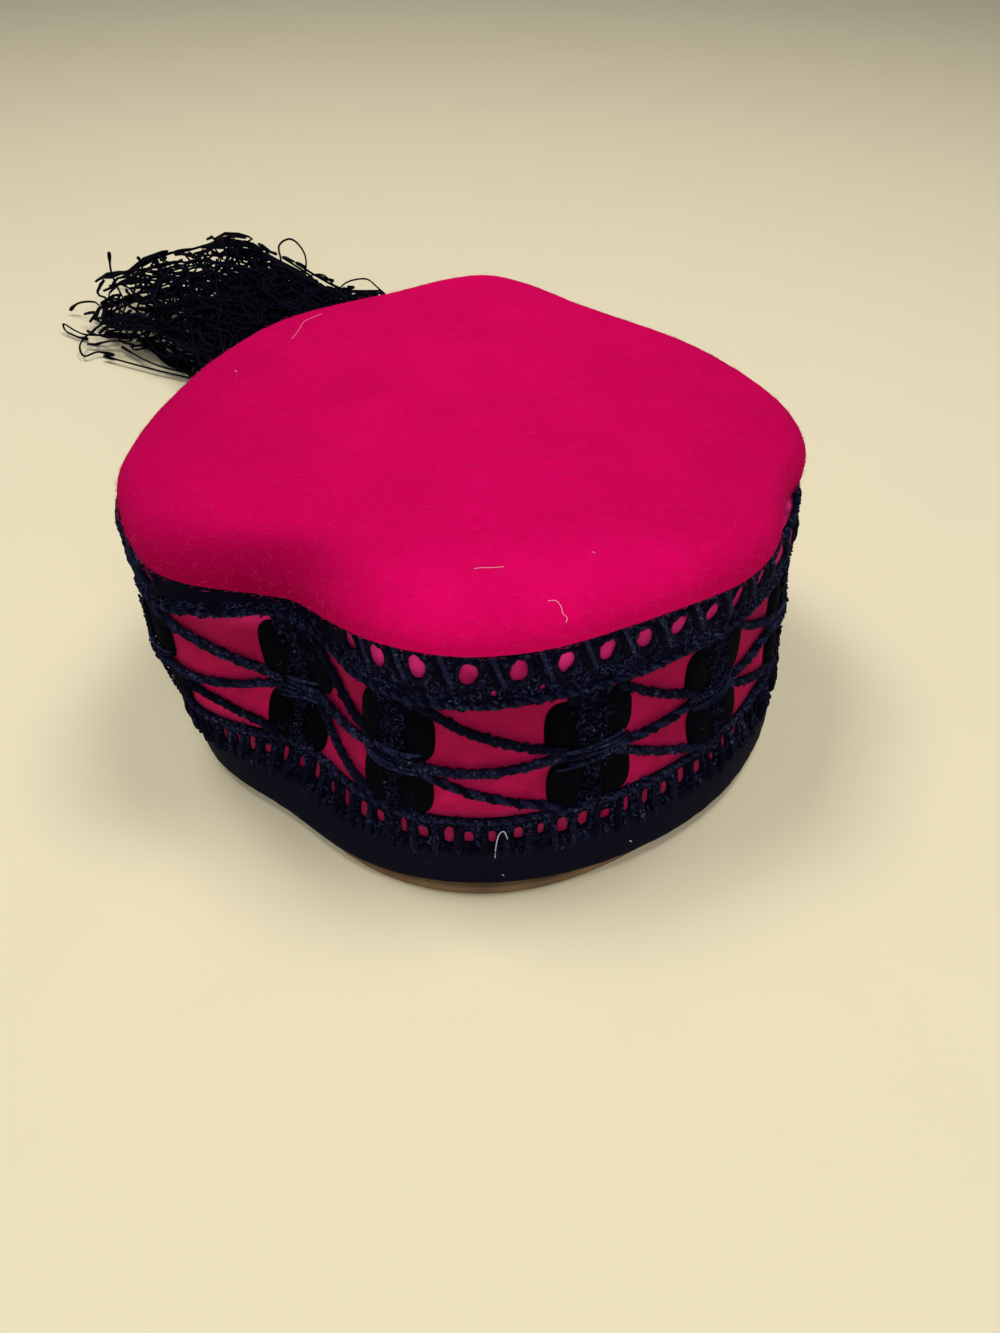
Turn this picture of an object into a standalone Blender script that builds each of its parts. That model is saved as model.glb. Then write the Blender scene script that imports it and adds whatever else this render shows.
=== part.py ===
"""Felt folk cap with a crochet lace band and a long thread tassel.

The cap stands on its rim, +Z up, in metres. The origin is the centre of the head opening, on the surface
that the cap stands on. The front is towards -Y, and azimuths are counted from +X towards +Y, in degrees.
"""
import math

import bmesh
import bpy
import numpy as np
from mathutils import Vector

# Clearance between neighbouring pieces, and the wider ones where a twisted facet leans towards its neighbour
GAP = 0.0003
LACE_GAP = 0.0006
RIBBON_GAP = 0.0006
WALL_FOOT_GAP = 0.0013
SWEATBAND_GAP = 0.001
TASSEL_GAP = 0.0004

# Heights above the surface
RIBBON_FOOT_Z = 0.003
RIBBON_TOP_Z = 0.0158
WAIST_Z = 0.0445
SEAM_Z = 0.080

# Cloth thicknesses
FELT = 0.0025
WALL_CLOTH = 0.002
LACE = 0.0016
RIBBON = 0.0011
LEATHER = 0.0013

# The wall's outer face in plan: one row for each section, with its radius at the ribbon's foot, at the
# waist and at the crown seam, how far the felt shoulder stands out past the wall, and how far the
# shoulder sags below its usual height
SECTIONS = (
    # azimuth, rim, waist, crown, shoulder, sag
    (0, 0.0925, 0.0905, 0.0840, 0.0054, 0.0),
    (30, 0.0865, 0.0835, 0.0785, 0.0054, 0.0),
    (60, 0.0830, 0.0820, 0.0800, 0.0054, 0.0),
    (90, 0.0840, 0.0860, 0.0970, 0.0057, 0.0),
    (120, 0.0865, 0.0865, 0.0890, 0.0057, 0.0),
    (150, 0.0890, 0.0895, 0.0895, 0.0060, 0.0),
    (180, 0.0875, 0.0920, 0.0895, 0.0056, 0.0),
    (210, 0.0890, 0.0960, 0.0945, 0.0060, 0.0015),
    (240, 0.0860, 0.0785, 0.0750, 0.0064, 0.0030),
    (270, 0.0855, 0.0800, 0.0740, 0.0058, 0.0005),
    (300, 0.0865, 0.0780, 0.0730, 0.0054, 0.0),
    (330, 0.0905, 0.0820, 0.0810, 0.0054, 0.0),
)

# The one big dent, pressed into the front left of the wall
DENT_AZIMUTH = 227.5
DENT_WIDTH = 16.5
DENT_DEPTH_RIM = 0.0045
DENT_DEPTH_WAIST = 0.0165
DENT_DEPTH_CROWN = 0.0120

# Facets round every ring: each nested piece has its corners on the same stations, so facets stay parallel
STATIONS = 60

# Mesh tolerances: points closer than this are one point, faces flatter than this are one face, and edges
# sharper than this are shaded sharp
MERGE_DISTANCE = 1e-6
FLAT_ANGLE = math.radians(1)
SHARP_ANGLE = math.radians(40)

# Felt crown
SHOULDER_RADIUS = 0.007
SHOULDER_RISE = 0.0045
LIP_DROP = 0.0006
SHOULDER_ANGLES = (20, 45, 68, 90)
CROWN_DOME = 0.0025
CROWN_RINGS = (0.74, 0.38)
WALL_TOP_RISE = 0.0078

# Side wall: the levels of its rings, and how far out of flat a facet of it may be before the lace is cut
# along the facet's own fold
WALL_FOOT_Z = RIBBON_FOOT_Z + RIBBON + WALL_FOOT_GAP
LACE_FOOT_Z = RIBBON_TOP_Z + 2 * GAP
WALL_LEVELS = (WALL_FOOT_Z, LACE_FOOT_Z, WAIST_Z, SEAM_Z)
FLATNESS = 0.0002

# Lace band
PILLAR_AZIMUTHS = (18, 48, 80, 111, 142, 172, 203, 229, 256, 290.5, 320, 348)
PILLAR_HALF_LOBE = 0.0092
PILLAR_HALF_WAIST = 0.0075
PILLAR_TOP_Z = 0.062
PILLAR_WAIST_Z = 0.0435
PILLAR_FOOT_Z = 0.027
EYELETS_PER_PANEL = 4
EYELET_Z = 0.0725
EYELET_HALF_WIDTH = 0.0022
EYELET_HALF_HEIGHT = 0.0028
EYELET_SIDES = 8

# The four wedge gaps between the cords of a panel: each corner is the share of the way from the left
# pillar to the right one, and a height
WEDGES = (
    ((0.33, 0.0620), (1.0, 0.0622), (1.0, 0.0555), (1.0, 0.0485)),
    ((0.0, 0.0598), (0.0, 0.0525), (0.0, 0.0450), (0.86, 0.0470)),
    ((0.12, 0.0405), (1.0, 0.0425), (1.0, 0.0360), (1.0, 0.0298)),
    ((0.0, 0.0388), (0.0, 0.0325), (0.0, 0.0268), (0.76, 0.0285)),
)

# Ribbon folded over the lower edge, and the leather strip inside it
RIBBON_INNER_TOP_Z = 0.011
SWEATBAND_TOP_Z = 0.027
SWEATBAND_FOOT_FRONT = 0.0009
SWEATBAND_FOOT_BACK = -0.0016
SWEATBAND_SHOW_AZIMUTH = 272
EDGE_ROUND = 0.0008

# Tassel: a wrapped head on the back of the wall, and locks that fall to the surface and fan out
TASSEL_AZIMUTH = 97
TASSEL_HEAD_Z = 0.048
TASSEL_HEAD_RADIUS = 0.0075
TASSEL_HEAD_HEIGHT = 0.018
TASSEL_NECK_RADIUS = 0.0056
TASSEL_HEAD_ROWS = (
    # height as a share of the head's, fullness between the neck's radius and the head's
    (0.50, -1.2),
    (0.36, 0.8),
    (0.12, 1.0),
    (-0.14, 0.95),
    (-0.30, 0.0),
    (-0.50, 0.0),
    (-0.62, 0.05),
)
LOCK_ROOT_RADIUS = 0.0042
LOCK_BELLY_RADIUS = 0.0100
LOCK_TIP_RADIUS = 0.0040
LOCK_FALL = 0.075
LOCK_POINTS = 12
LOCK_SPACING = 1.15
LOCK_FULLEST = 0.8
LOCKS = (
    # heading, reach from the head, lift of the belly
    (107, 0.170, 0.000),
    (114, 0.215, 0.003),
    (120.5, 0.250, 0.009),
    (126.5, 0.262, 0.001),
    (132.5, 0.280, 0.010),
    (138.5, 0.270, 0.001),
    (144.5, 0.245, 0.007),
    (151, 0.200, 0.000),
)


def smooth_column(column, azimuth):
    """Value of one column of SECTIONS at an azimuth, on a closed smooth curve through its rows."""
    values = [row[column] for row in SECTIONS]
    place = azimuth / 360 * len(values)
    row = math.floor(place)
    t = place - row
    a, b, c, d = (values[(row + step) % len(values)] for step in (-1, 0, 1, 2))
    return b + 0.5 * t * ((c - a) + t * ((2 * a - 5 * b + 4 * c - d) + t * (3 * b - a - 3 * c + d)))


def dent_share(azimuth):
    """How much of the dent's depth an azimuth takes."""
    away = (azimuth - DENT_AZIMUTH + 180) % 360 - 180
    return math.exp(-(away / DENT_WIDTH) ** 2)


def wall_radius(azimuth, z):
    """Radius of the wall's outer face."""
    dent = dent_share(azimuth)
    rim = smooth_column(1, azimuth) - DENT_DEPTH_RIM * dent
    waist = smooth_column(2, azimuth) - DENT_DEPTH_WAIST * dent
    crown = smooth_column(3, azimuth) - DENT_DEPTH_CROWN * dent
    return float(np.interp(z, (RIBBON_FOOT_Z, WAIST_Z, SEAM_Z), (rim, waist, crown)))


def wall_point(azimuth, z):
    """Point on the wall's outer face."""
    radius = wall_radius(azimuth, z)
    turn = math.radians(azimuth)
    return Vector((radius * math.cos(turn), radius * math.sin(turn), z))


STATION_AZIMUTHS = [360 * index / STATIONS for index in range(STATIONS)]


def wall_normal(azimuth):
    """Outward direction of the wall in plan, taken at the waist."""
    step = 360 / STATIONS
    along = wall_point(azimuth + step, WAIST_Z) - wall_point(azimuth - step, WAIST_Z)
    return Vector((along.y, -along.x, 0)).normalized()


STATION_NORMALS = [wall_normal(azimuth) for azimuth in STATION_AZIMUTHS]


def station_point(station, z, offset):
    """Corner of a ring at one station, moved outwards from the wall's outer face."""
    index = station % STATIONS
    return wall_point(STATION_AZIMUTHS[index], z) + STATION_NORMALS[index] * offset


def ring(z, offset):
    """One corner for each station; z and offset are numbers, or functions of the azimuth."""
    corners = []
    for index, azimuth in enumerate(STATION_AZIMUTHS):
        height = z(azimuth) if callable(z) else z
        out = offset(azimuth) if callable(offset) else offset
        corners.append(station_point(index, height, out))
    return corners


def shoulder_stand(azimuth):
    """How far the felt shoulder stands out past the wall."""
    return smooth_column(4, azimuth)


def sag(azimuth):
    """How far the felt shoulder hangs below its usual height."""
    return max(0.0, smooth_column(5, azimuth))


def material(name, colour, roughness):
    """Plain Principled material of one piece."""
    finish = bpy.data.materials.new(name)
    finish.use_nodes = True
    shader = finish.node_tree.nodes["Principled BSDF"]
    shader.inputs["Base Color"].default_value = (*colour, 1)
    shader.inputs["Roughness"].default_value = roughness
    shader.inputs["Metallic"].default_value = 0.0
    return finish


def add_object(name, data, collection, finish):
    """Object with its material, in the cap's collection."""
    piece = bpy.data.objects.new(name, data)
    data.materials.clear()
    data.materials.append(finish)
    collection.objects.link(piece)
    return piece


def loft(bm, rings, closed=False, folded=False):
    """Bridge rings with quads, from the first to the last, and back to it if closed; folded cuts them in two."""
    loops = [[bm.verts.new(corner) for corner in corners] for corners in rings]
    pairs = list(zip(loops, loops[1:] + loops[:1])) if closed else list(zip(loops, loops[1:]))
    for lower, upper in pairs:
        for index in range(len(lower)):
            after = (index + 1) % len(lower)
            if folded:
                bm.faces.new((lower[index], lower[after], upper[after]))
                bm.faces.new((lower[index], upper[after], upper[index]))
            else:
                bm.faces.new((lower[index], lower[after], upper[after], upper[index]))
    return loops


def mesh_from(bm, name):
    """Finish a mesh: flat polygons cut into triangles, shaded smooth."""
    bmesh.ops.triangulate(bm, faces=[face for face in bm.faces if len(face.verts) > 4])
    mesh = bpy.data.meshes.new(name)
    bm.to_mesh(mesh)
    bm.free()
    mesh.shade_smooth()
    mesh.set_sharp_from_angle(angle=SHARP_ANGLE)
    return mesh


def add_wall_thickness(piece, thickness, outwards=False):
    """Give an open sheet its thickness, on its inner side unless told otherwise."""
    shell = piece.modifiers.new("thickness", "SOLIDIFY")
    shell.thickness = thickness
    shell.offset = 1 if outwards else -1


def make_crown_felt(collection):
    """Flat-topped felt crown: skirt over the lace's upper edge, rolled shoulder and slightly domed top."""
    rings = [
        ring(lambda azimuth: SEAM_Z - LIP_DROP - sag(azimuth), shoulder_stand),
        ring(lambda azimuth: SEAM_Z + SHOULDER_RISE / 2 - sag(azimuth), shoulder_stand),
    ]
    for angle in SHOULDER_ANGLES:
        turn = math.radians(angle)
        inset = SHOULDER_RADIUS * (1 - math.cos(turn))
        rise = SHOULDER_RISE + SHOULDER_RADIUS * math.sin(turn)
        rings.append(ring(
            lambda azimuth, rise=rise: SEAM_Z + rise - sag(azimuth),
            lambda azimuth, inset=inset: shoulder_stand(azimuth) - inset,
        ))
    edge = rings[-1]
    top = Vector((0, 0, SEAM_Z + SHOULDER_RISE + SHOULDER_RADIUS + CROWN_DOME))
    for share in CROWN_RINGS:
        # The sag fades out and the dome rises towards the middle
        bulge = CROWN_DOME * (share - share ** 2)
        rings.append([top.lerp(corner, share) + Vector((0, 0, bulge)) for corner in edge])
    bm = bmesh.new()
    loops = loft(bm, rings)
    pole = bm.verts.new(top)
    last = loops[-1]
    for index, corner in enumerate(last):
        bm.faces.new((corner, last[(index + 1) % STATIONS], pole))
    finish = material("magenta_felt", (0.62, 0.002, 0.09), 0.95)
    piece = add_object("crown_felt", mesh_from(bm, "crown_felt"), collection, finish)
    add_wall_thickness(piece, FELT)


def make_side_wall(collection):
    """Cloth wall that the lace lies on and the crown sits on."""
    rings = [ring(z, 0) for z in WALL_LEVELS]
    rings.append(ring(lambda azimuth: SEAM_Z + WALL_TOP_RISE - sag(azimuth), 0))
    bm = bmesh.new()
    loft(bm, rings, folded=True)
    finish = material("raspberry_cloth", (0.45, 0.012, 0.08), 0.9)
    piece = add_object("side_wall", mesh_from(bm, "side_wall"), collection, finish)
    add_wall_thickness(piece, WALL_CLOTH)


def station_distances():
    """Distance round the waist from the first pillar to each later station, and the whole way round."""
    first = first_station()
    distances = [0.0]
    for step in range(STATIONS):
        here = station_point(first + step, WAIST_Z, 0)
        after = station_point(first + step + 1, WAIST_Z, 0)
        distances.append(distances[-1] + (after - here).length)
    return distances


def first_station():
    """Station on the pillar where the lace band's two ends meet, at the back of the cap."""
    return round(PILLAR_AZIMUTHS[1] / 360 * STATIONS)


def pillar_places(distances):
    """Distances of the pillars' middles from the band's first end to its last."""
    start = first_station() * 360 / STATIONS
    stations = [start + 360 * index / STATIONS for index in range(STATIONS + 1)]
    azimuths = sorted((azimuth - start) % 360 + start for azimuth in PILLAR_AZIMUTHS)
    azimuths[0] = start
    return [float(np.interp(azimuth, stations, distances)) for azimuth in azimuths] + [distances[-1]]


def pillar_half_width(z):
    """Half the width of a pillar: two lobes, one above the other, with a waist between them."""
    if z > PILLAR_WAIST_Z:
        share = (z - PILLAR_WAIST_Z) / (PILLAR_TOP_Z - PILLAR_WAIST_Z)
    else:
        share = (PILLAR_WAIST_Z - z) / (PILLAR_WAIST_Z - PILLAR_FOOT_Z)
    swell = math.sin(math.pi * min(share, 1.0)) ** 0.5
    return PILLAR_HALF_WAIST + (PILLAR_HALF_LOBE - PILLAR_HALF_WAIST) * swell


def wedge_outline(corners, left, right):
    """Corners of one wedge gap between the pillars whose middles are at left and right."""
    outline = []
    for share, z in corners:
        half = pillar_half_width(z)
        outline.append((left + half + share * (right - left - 2 * half), z))
    return outline


def eyelet_outline(middle):
    """Corners of one oval eyelet."""
    outline = []
    for side in range(EYELET_SIDES):
        turn = 2 * math.pi * (side + 0.5) / EYELET_SIDES
        outline.append((middle + EYELET_HALF_WIDTH * math.cos(turn), EYELET_Z + EYELET_HALF_HEIGHT * math.sin(turn)))
    return outline


def lace_outlines(distances):
    """Outer edge of the unrolled lace band and the outline of every gap in it."""
    foot_edge = [(distance, LACE_FOOT_Z) for distance in distances]
    top_edge = [(distance, SEAM_Z) for distance in reversed(distances)]
    outlines = [foot_edge + top_edge]
    places = pillar_places(distances)
    for left, right in zip(places, places[1:]):
        outlines += [wedge_outline(corners, left, right) for corners in WEDGES]
        for index in range(EYELETS_PER_PANEL):
            share = (index + 0.5) / EYELETS_PER_PANEL
            outlines.append(eyelet_outline(left + share * (right - left)))
    return outlines


def filled_sheet(name, outlines):
    """Flat mesh of outlines in the XY plane, the inner ones left open."""
    curve = bpy.data.curves.new(name, "CURVE")
    curve.dimensions = "2D"
    curve.fill_mode = "BOTH"
    for outline in outlines:
        spline = curve.splines.new("POLY")
        spline.points.add(len(outline) - 1)
        for point, (x, y) in zip(spline.points, outline):
            point.co = (x, y, 0, 1)
        spline.use_cyclic_u = True
    guide = bpy.data.objects.new(name, curve)
    bpy.context.scene.collection.objects.link(guide)
    evaluated = guide.evaluated_get(bpy.context.evaluated_depsgraph_get())
    mesh = bpy.data.meshes.new_from_object(evaluated)
    bpy.data.objects.remove(guide)
    return mesh


def cut_along(bm, faces, point, normal):
    """Cut the given faces where a plane crosses them, and mark the cut as a fold of the band."""
    edges = {edge for face in faces for edge in face.edges}
    verts = {vert for face in faces for vert in face.verts}
    geometry = [*verts, *edges, *faces]
    cut = bmesh.ops.bisect_plane(bm, geom=geometry, dist=MERGE_DISTANCE, plane_co=point, plane_no=normal)
    for piece in cut["geom_cut"]:
        if isinstance(piece, bmesh.types.BMEdge):
            piece.seam = True


def facet_corners(step, low, high, offset):
    """Corners of the wall's facet between two levels, counted along the band and moved outwards."""
    first = first_station()
    return (
        station_point(first + step, low, offset),
        station_point(first + step + 1, low, offset),
        station_point(first + step + 1, high, offset),
        station_point(first + step, high, offset),
    )


def cut_folds(bm, distances):
    """Cut the band along the fold of every facet of the wall that isn't flat."""
    for step in range(STATIONS):
        left, right = distances[step], distances[step + 1]
        for low, high in zip(WALL_LEVELS[1:], WALL_LEVELS[2:]):
            a, b, c, d = facet_corners(step, low, high, 0)
            if (a - b + c - d).length / 4 < FLATNESS:
                continue
            facet = []
            for face in bm.faces:
                middle = face.calc_center_median()
                if left < middle.x < right and low < middle.y < high:
                    facet.append(face)
            cut_along(bm, facet, (left, low, 0), (high - low, left - right, 0))


def wrapped(distances, x, z):
    """Place on the wrapped band of a point of the unrolled one."""
    step = min(int(np.searchsorted(distances, x + MERGE_DISTANCE / 10)) - 1, STATIONS - 1)
    low, high = (LACE_FOOT_Z, WAIST_Z) if z < WAIST_Z else (WAIST_Z, SEAM_Z)
    across = (x - distances[step]) / (distances[step + 1] - distances[step])
    up = (z - low) / (high - low)
    a, b, c, d = facet_corners(step, low, high, LACE_GAP)
    if across > up:
        return a + across * (b - a) + up * (c - b)
    return a + up * (d - a) + across * (c - d)


def flat_lace(distances):
    """The unrolled lace band, cut at every station and fold, in as few triangles as that takes."""
    bm = bmesh.new()
    bm.from_mesh(filled_sheet("lace_sheet", lace_outlines(distances)))
    inner = [edge for edge in bm.edges if len(edge.link_faces) == 2]
    bmesh.ops.beautify_fill(bm, faces=bm.faces[:], edges=inner)
    for distance in distances[1:-1]:
        cut_along(bm, bm.faces[:], (distance, 0, 0), (1, 0, 0))
    cut_along(bm, bm.faces[:], (0, WAIST_Z, 0), (0, 1, 0))
    cut_folds(bm, distances)
    bmesh.ops.dissolve_limit(
        bm, angle_limit=FLAT_ANGLE, verts=bm.verts[:], edges=bm.edges[:], delimit={"SEAM"})
    bmesh.ops.triangulate(bm, faces=bm.faces[:])
    return bm


def make_lace_band(collection):
    """Crochet band: made flat, cut at every station, wrapped round the wall and thickened outwards."""
    distances = station_distances()
    bm = flat_lace(distances)
    for vert in bm.verts:
        vert.co = wrapped(distances, vert.co.x, vert.co.y)
    bmesh.ops.remove_doubles(bm, verts=bm.verts[:], dist=10 * MERGE_DISTANCE)
    bmesh.ops.recalc_face_normals(bm, faces=bm.faces[:])
    bm.faces.ensure_lookup_table()
    probe = bm.faces[0]
    if probe.normal.dot(probe.calc_center_median()) < 0:
        bmesh.ops.reverse_faces(bm, faces=bm.faces[:])
    finish = material("navy_crochet", (0.006, 0.006, 0.018), 0.85)
    piece = add_object("lace_band", mesh_from(bm, "lace_band"), collection, finish)
    add_wall_thickness(piece, LACE, outwards=True)


def make_rim_binding(collection):
    """Ribbon folded over the lower edge of the wall, one closed profile carried round the rim."""
    outside = RIBBON_GAP + RIBBON
    inside = -(WALL_CLOTH + RIBBON_GAP + RIBBON)
    foot = RIBBON_FOOT_Z
    profile = (
        (outside, RIBBON_TOP_Z),
        (RIBBON_GAP, RIBBON_TOP_Z),
        (RIBBON_GAP, foot + RIBBON),
        (inside + RIBBON, foot + RIBBON),
        (inside + RIBBON, RIBBON_INNER_TOP_Z),
        (inside, RIBBON_INNER_TOP_Z),
        (inside, foot),
        (outside - EDGE_ROUND, foot),
        (outside, foot + EDGE_ROUND),
    )
    bm = bmesh.new()
    loft(bm, [ring(z, offset) for offset, z in profile], closed=True)
    bmesh.ops.recalc_face_normals(bm, faces=bm.faces[:])
    finish = material("navy_ribbon", (0.008, 0.008, 0.02), 0.45)
    add_object("rim_binding", mesh_from(bm, "rim_binding"), collection, finish)


def sweatband_foot(azimuth):
    """How far the leather's turned-out foot reaches: it shows under the ribbon at the front only."""
    share = max(0.0, math.cos(math.radians(azimuth - SWEATBAND_SHOW_AZIMUTH)))
    return SWEATBAND_FOOT_BACK + (SWEATBAND_FOOT_FRONT - SWEATBAND_FOOT_BACK) * share


def make_sweatband(collection):
    """Leather strip inside the rim, with a turned-out foot that the whole cap stands on."""
    outside = -(WALL_CLOTH + RIBBON_GAP + RIBBON + SWEATBAND_GAP)
    inside = outside - LEATHER
    foot_top = RIBBON_FOOT_Z - GAP
    profile = (
        (outside, SWEATBAND_TOP_Z),
        (inside, SWEATBAND_TOP_Z),
        (inside, 0.0),
        (lambda azimuth: sweatband_foot(azimuth) - EDGE_ROUND, 0.0),
        (sweatband_foot, EDGE_ROUND),
        (sweatband_foot, foot_top - EDGE_ROUND / 2),
        (lambda azimuth: sweatband_foot(azimuth) - EDGE_ROUND / 2, foot_top),
        (outside, foot_top),
    )
    bm = bmesh.new()
    loft(bm, [ring(z, offset) for offset, z in profile], closed=True)
    bmesh.ops.recalc_face_normals(bm, faces=bm.faces[:])
    finish = material("tan_leather", (0.13, 0.055, 0.022), 0.6)
    add_object("sweatband", mesh_from(bm, "sweatband"), collection, finish)


def lock_path(heading, reach, lift):
    """Middle line and radii of one lock, from inside the head down to the surface and out to its tip."""
    turn = math.radians(heading - TASSEL_AZIMUTH)
    start = -TASSEL_HEAD_HEIGHT / 2
    points = []
    for index in range(LOCK_POINTS):
        share = index / (LOCK_POINTS - 1)
        out = reach * share ** LOCK_SPACING
        swell = math.sin(math.pi * share ** LOCK_FULLEST)
        radius = LOCK_ROOT_RADIUS + (LOCK_TIP_RADIUS - LOCK_ROOT_RADIUS) * share
        radius += (LOCK_BELLY_RADIUS - LOCK_ROOT_RADIUS) * swell
        fallen = min(1.0, out / LOCK_FALL)
        fall = fallen * fallen * (3 - 2 * fallen)
        lying = radius + GAP + lift * swell - TASSEL_HEAD_Z
        z = start * (1 - fall) + lying * fall
        # The locks leave the head together and only then spread
        side = out * math.sin(turn) * fall
        points.append((out * math.cos(turn * fall), side, z, radius))
    return points


def tube_from(name, points):
    """Closed round mesh along points, each with its own radius."""
    curve = bpy.data.curves.new(name, "CURVE")
    curve.dimensions = "3D"
    curve.bevel_depth = 1.0
    curve.bevel_resolution = 2
    curve.use_fill_caps = True
    spline = curve.splines.new("POLY")
    spline.points.add(len(points) - 1)
    for point, (x, y, z, radius) in zip(spline.points, points):
        point.co = (x, y, z, 1)
        point.radius = radius
    guide = bpy.data.objects.new(name, curve)
    bpy.context.scene.collection.objects.link(guide)
    evaluated = guide.evaluated_get(bpy.context.evaluated_depsgraph_get())
    mesh = bpy.data.meshes.new_from_object(evaluated)
    bpy.data.objects.remove(guide)
    bm = bmesh.new()
    bm.from_mesh(mesh)
    bmesh.ops.remove_doubles(bm, verts=bm.verts[:], dist=MERGE_DISTANCE)
    bmesh.ops.recalc_face_normals(bm, faces=bm.faces[:])
    return mesh_from(bm, name)


def tassel_head_points():
    """Middle line and radii of the wrapped head, from its rounded top to the neck where the locks come out."""
    points = []
    for height, fullness in TASSEL_HEAD_ROWS:
        radius = TASSEL_NECK_RADIUS + (TASSEL_HEAD_RADIUS - TASSEL_NECK_RADIUS) * fullness
        points.append((0, 0, TASSEL_HEAD_HEIGHT * height, radius))
    return points


def make_tassel(collection, cutters):
    """Head and locks joined into one solid, placed with its head against the back of the lace band."""
    finish = material("black_thread", (0.002, 0.002, 0.006), 0.6)
    piece = add_object("tassel", tube_from("tassel_head", tassel_head_points()), collection, finish)
    for index, (heading, reach, lift) in enumerate(LOCKS):
        lock = add_object(f"lock_{index}", tube_from("lock", lock_path(heading, reach, lift)), cutters, finish)
        lock.hide_render = True
        lock.display_type = "WIRE"
        union = piece.modifiers.new(f"join_{index}", "BOOLEAN")
        union.operation = "UNION"
        union.solver = "EXACT"
        union.object = lock
    turn = math.radians(TASSEL_AZIMUTH)
    # The wall leans out towards the crown, so the head's top sets how far out it stands
    wall = wall_radius(TASSEL_AZIMUTH, TASSEL_HEAD_Z + TASSEL_HEAD_HEIGHT / 4)
    out = wall + LACE_GAP + LACE + TASSEL_GAP + TASSEL_HEAD_RADIUS
    place = Vector((out * math.cos(turn), out * math.sin(turn), TASSEL_HEAD_Z))
    for joined in (piece, *cutters.objects):
        joined.location = place
        joined.rotation_euler = (0, 0, turn)


def main():
    """Clear the scene and build the cap."""
    for old in list(bpy.data.objects):
        bpy.data.objects.remove(old)
    collection = bpy.data.collections.new("folk_cap")
    cutters = bpy.data.collections.new("tassel_locks")
    for group in (collection, cutters):
        bpy.context.scene.collection.children.link(group)
    make_crown_felt(collection)
    make_side_wall(collection)
    make_lace_band(collection)
    make_rim_binding(collection)
    make_sweatband(collection)
    make_tassel(collection, cutters)


main()
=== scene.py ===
"""Looks of the felt folk cap: felt crown, crochet lace band, ribbon, leather strip and thread tassel.

Lace is made unrolled, with x along the wall, y up and z away from the cloth, and is then wrapped round the
wall that the frame holds. Everything else is made in place, in metres.
"""
import logging
import math
from collections.abc import Callable, Sequence
from dataclasses import dataclass, field
from enum import Enum

import bmesh
import bpy
import numpy as np
from mathutils import Matrix, Vector, noise
from mathutils.bvhtree import BVHTree


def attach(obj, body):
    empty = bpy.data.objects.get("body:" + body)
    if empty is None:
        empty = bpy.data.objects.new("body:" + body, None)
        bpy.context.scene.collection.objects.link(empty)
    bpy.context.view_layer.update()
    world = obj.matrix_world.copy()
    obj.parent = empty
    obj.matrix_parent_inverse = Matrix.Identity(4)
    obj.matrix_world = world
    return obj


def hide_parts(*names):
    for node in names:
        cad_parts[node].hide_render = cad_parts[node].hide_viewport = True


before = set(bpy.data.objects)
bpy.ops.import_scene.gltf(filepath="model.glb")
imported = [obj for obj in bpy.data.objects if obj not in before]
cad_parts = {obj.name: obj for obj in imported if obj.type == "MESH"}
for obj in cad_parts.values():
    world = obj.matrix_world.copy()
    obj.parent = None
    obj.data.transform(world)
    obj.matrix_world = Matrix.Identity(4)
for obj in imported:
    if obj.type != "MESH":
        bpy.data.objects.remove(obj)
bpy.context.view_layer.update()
LOG = logging.getLogger("folk_cap")
MM = 0.001
UV_LAYER = "cloth_mm"
TONE_LAYER = "tone"
STATIONS = 60
OFF_CORNER = 0.01

Colour = tuple[float, float, float]
Value = bpy.types.NodeSocket | float | Sequence[float]
Numbers = np.ndarray | float


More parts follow.
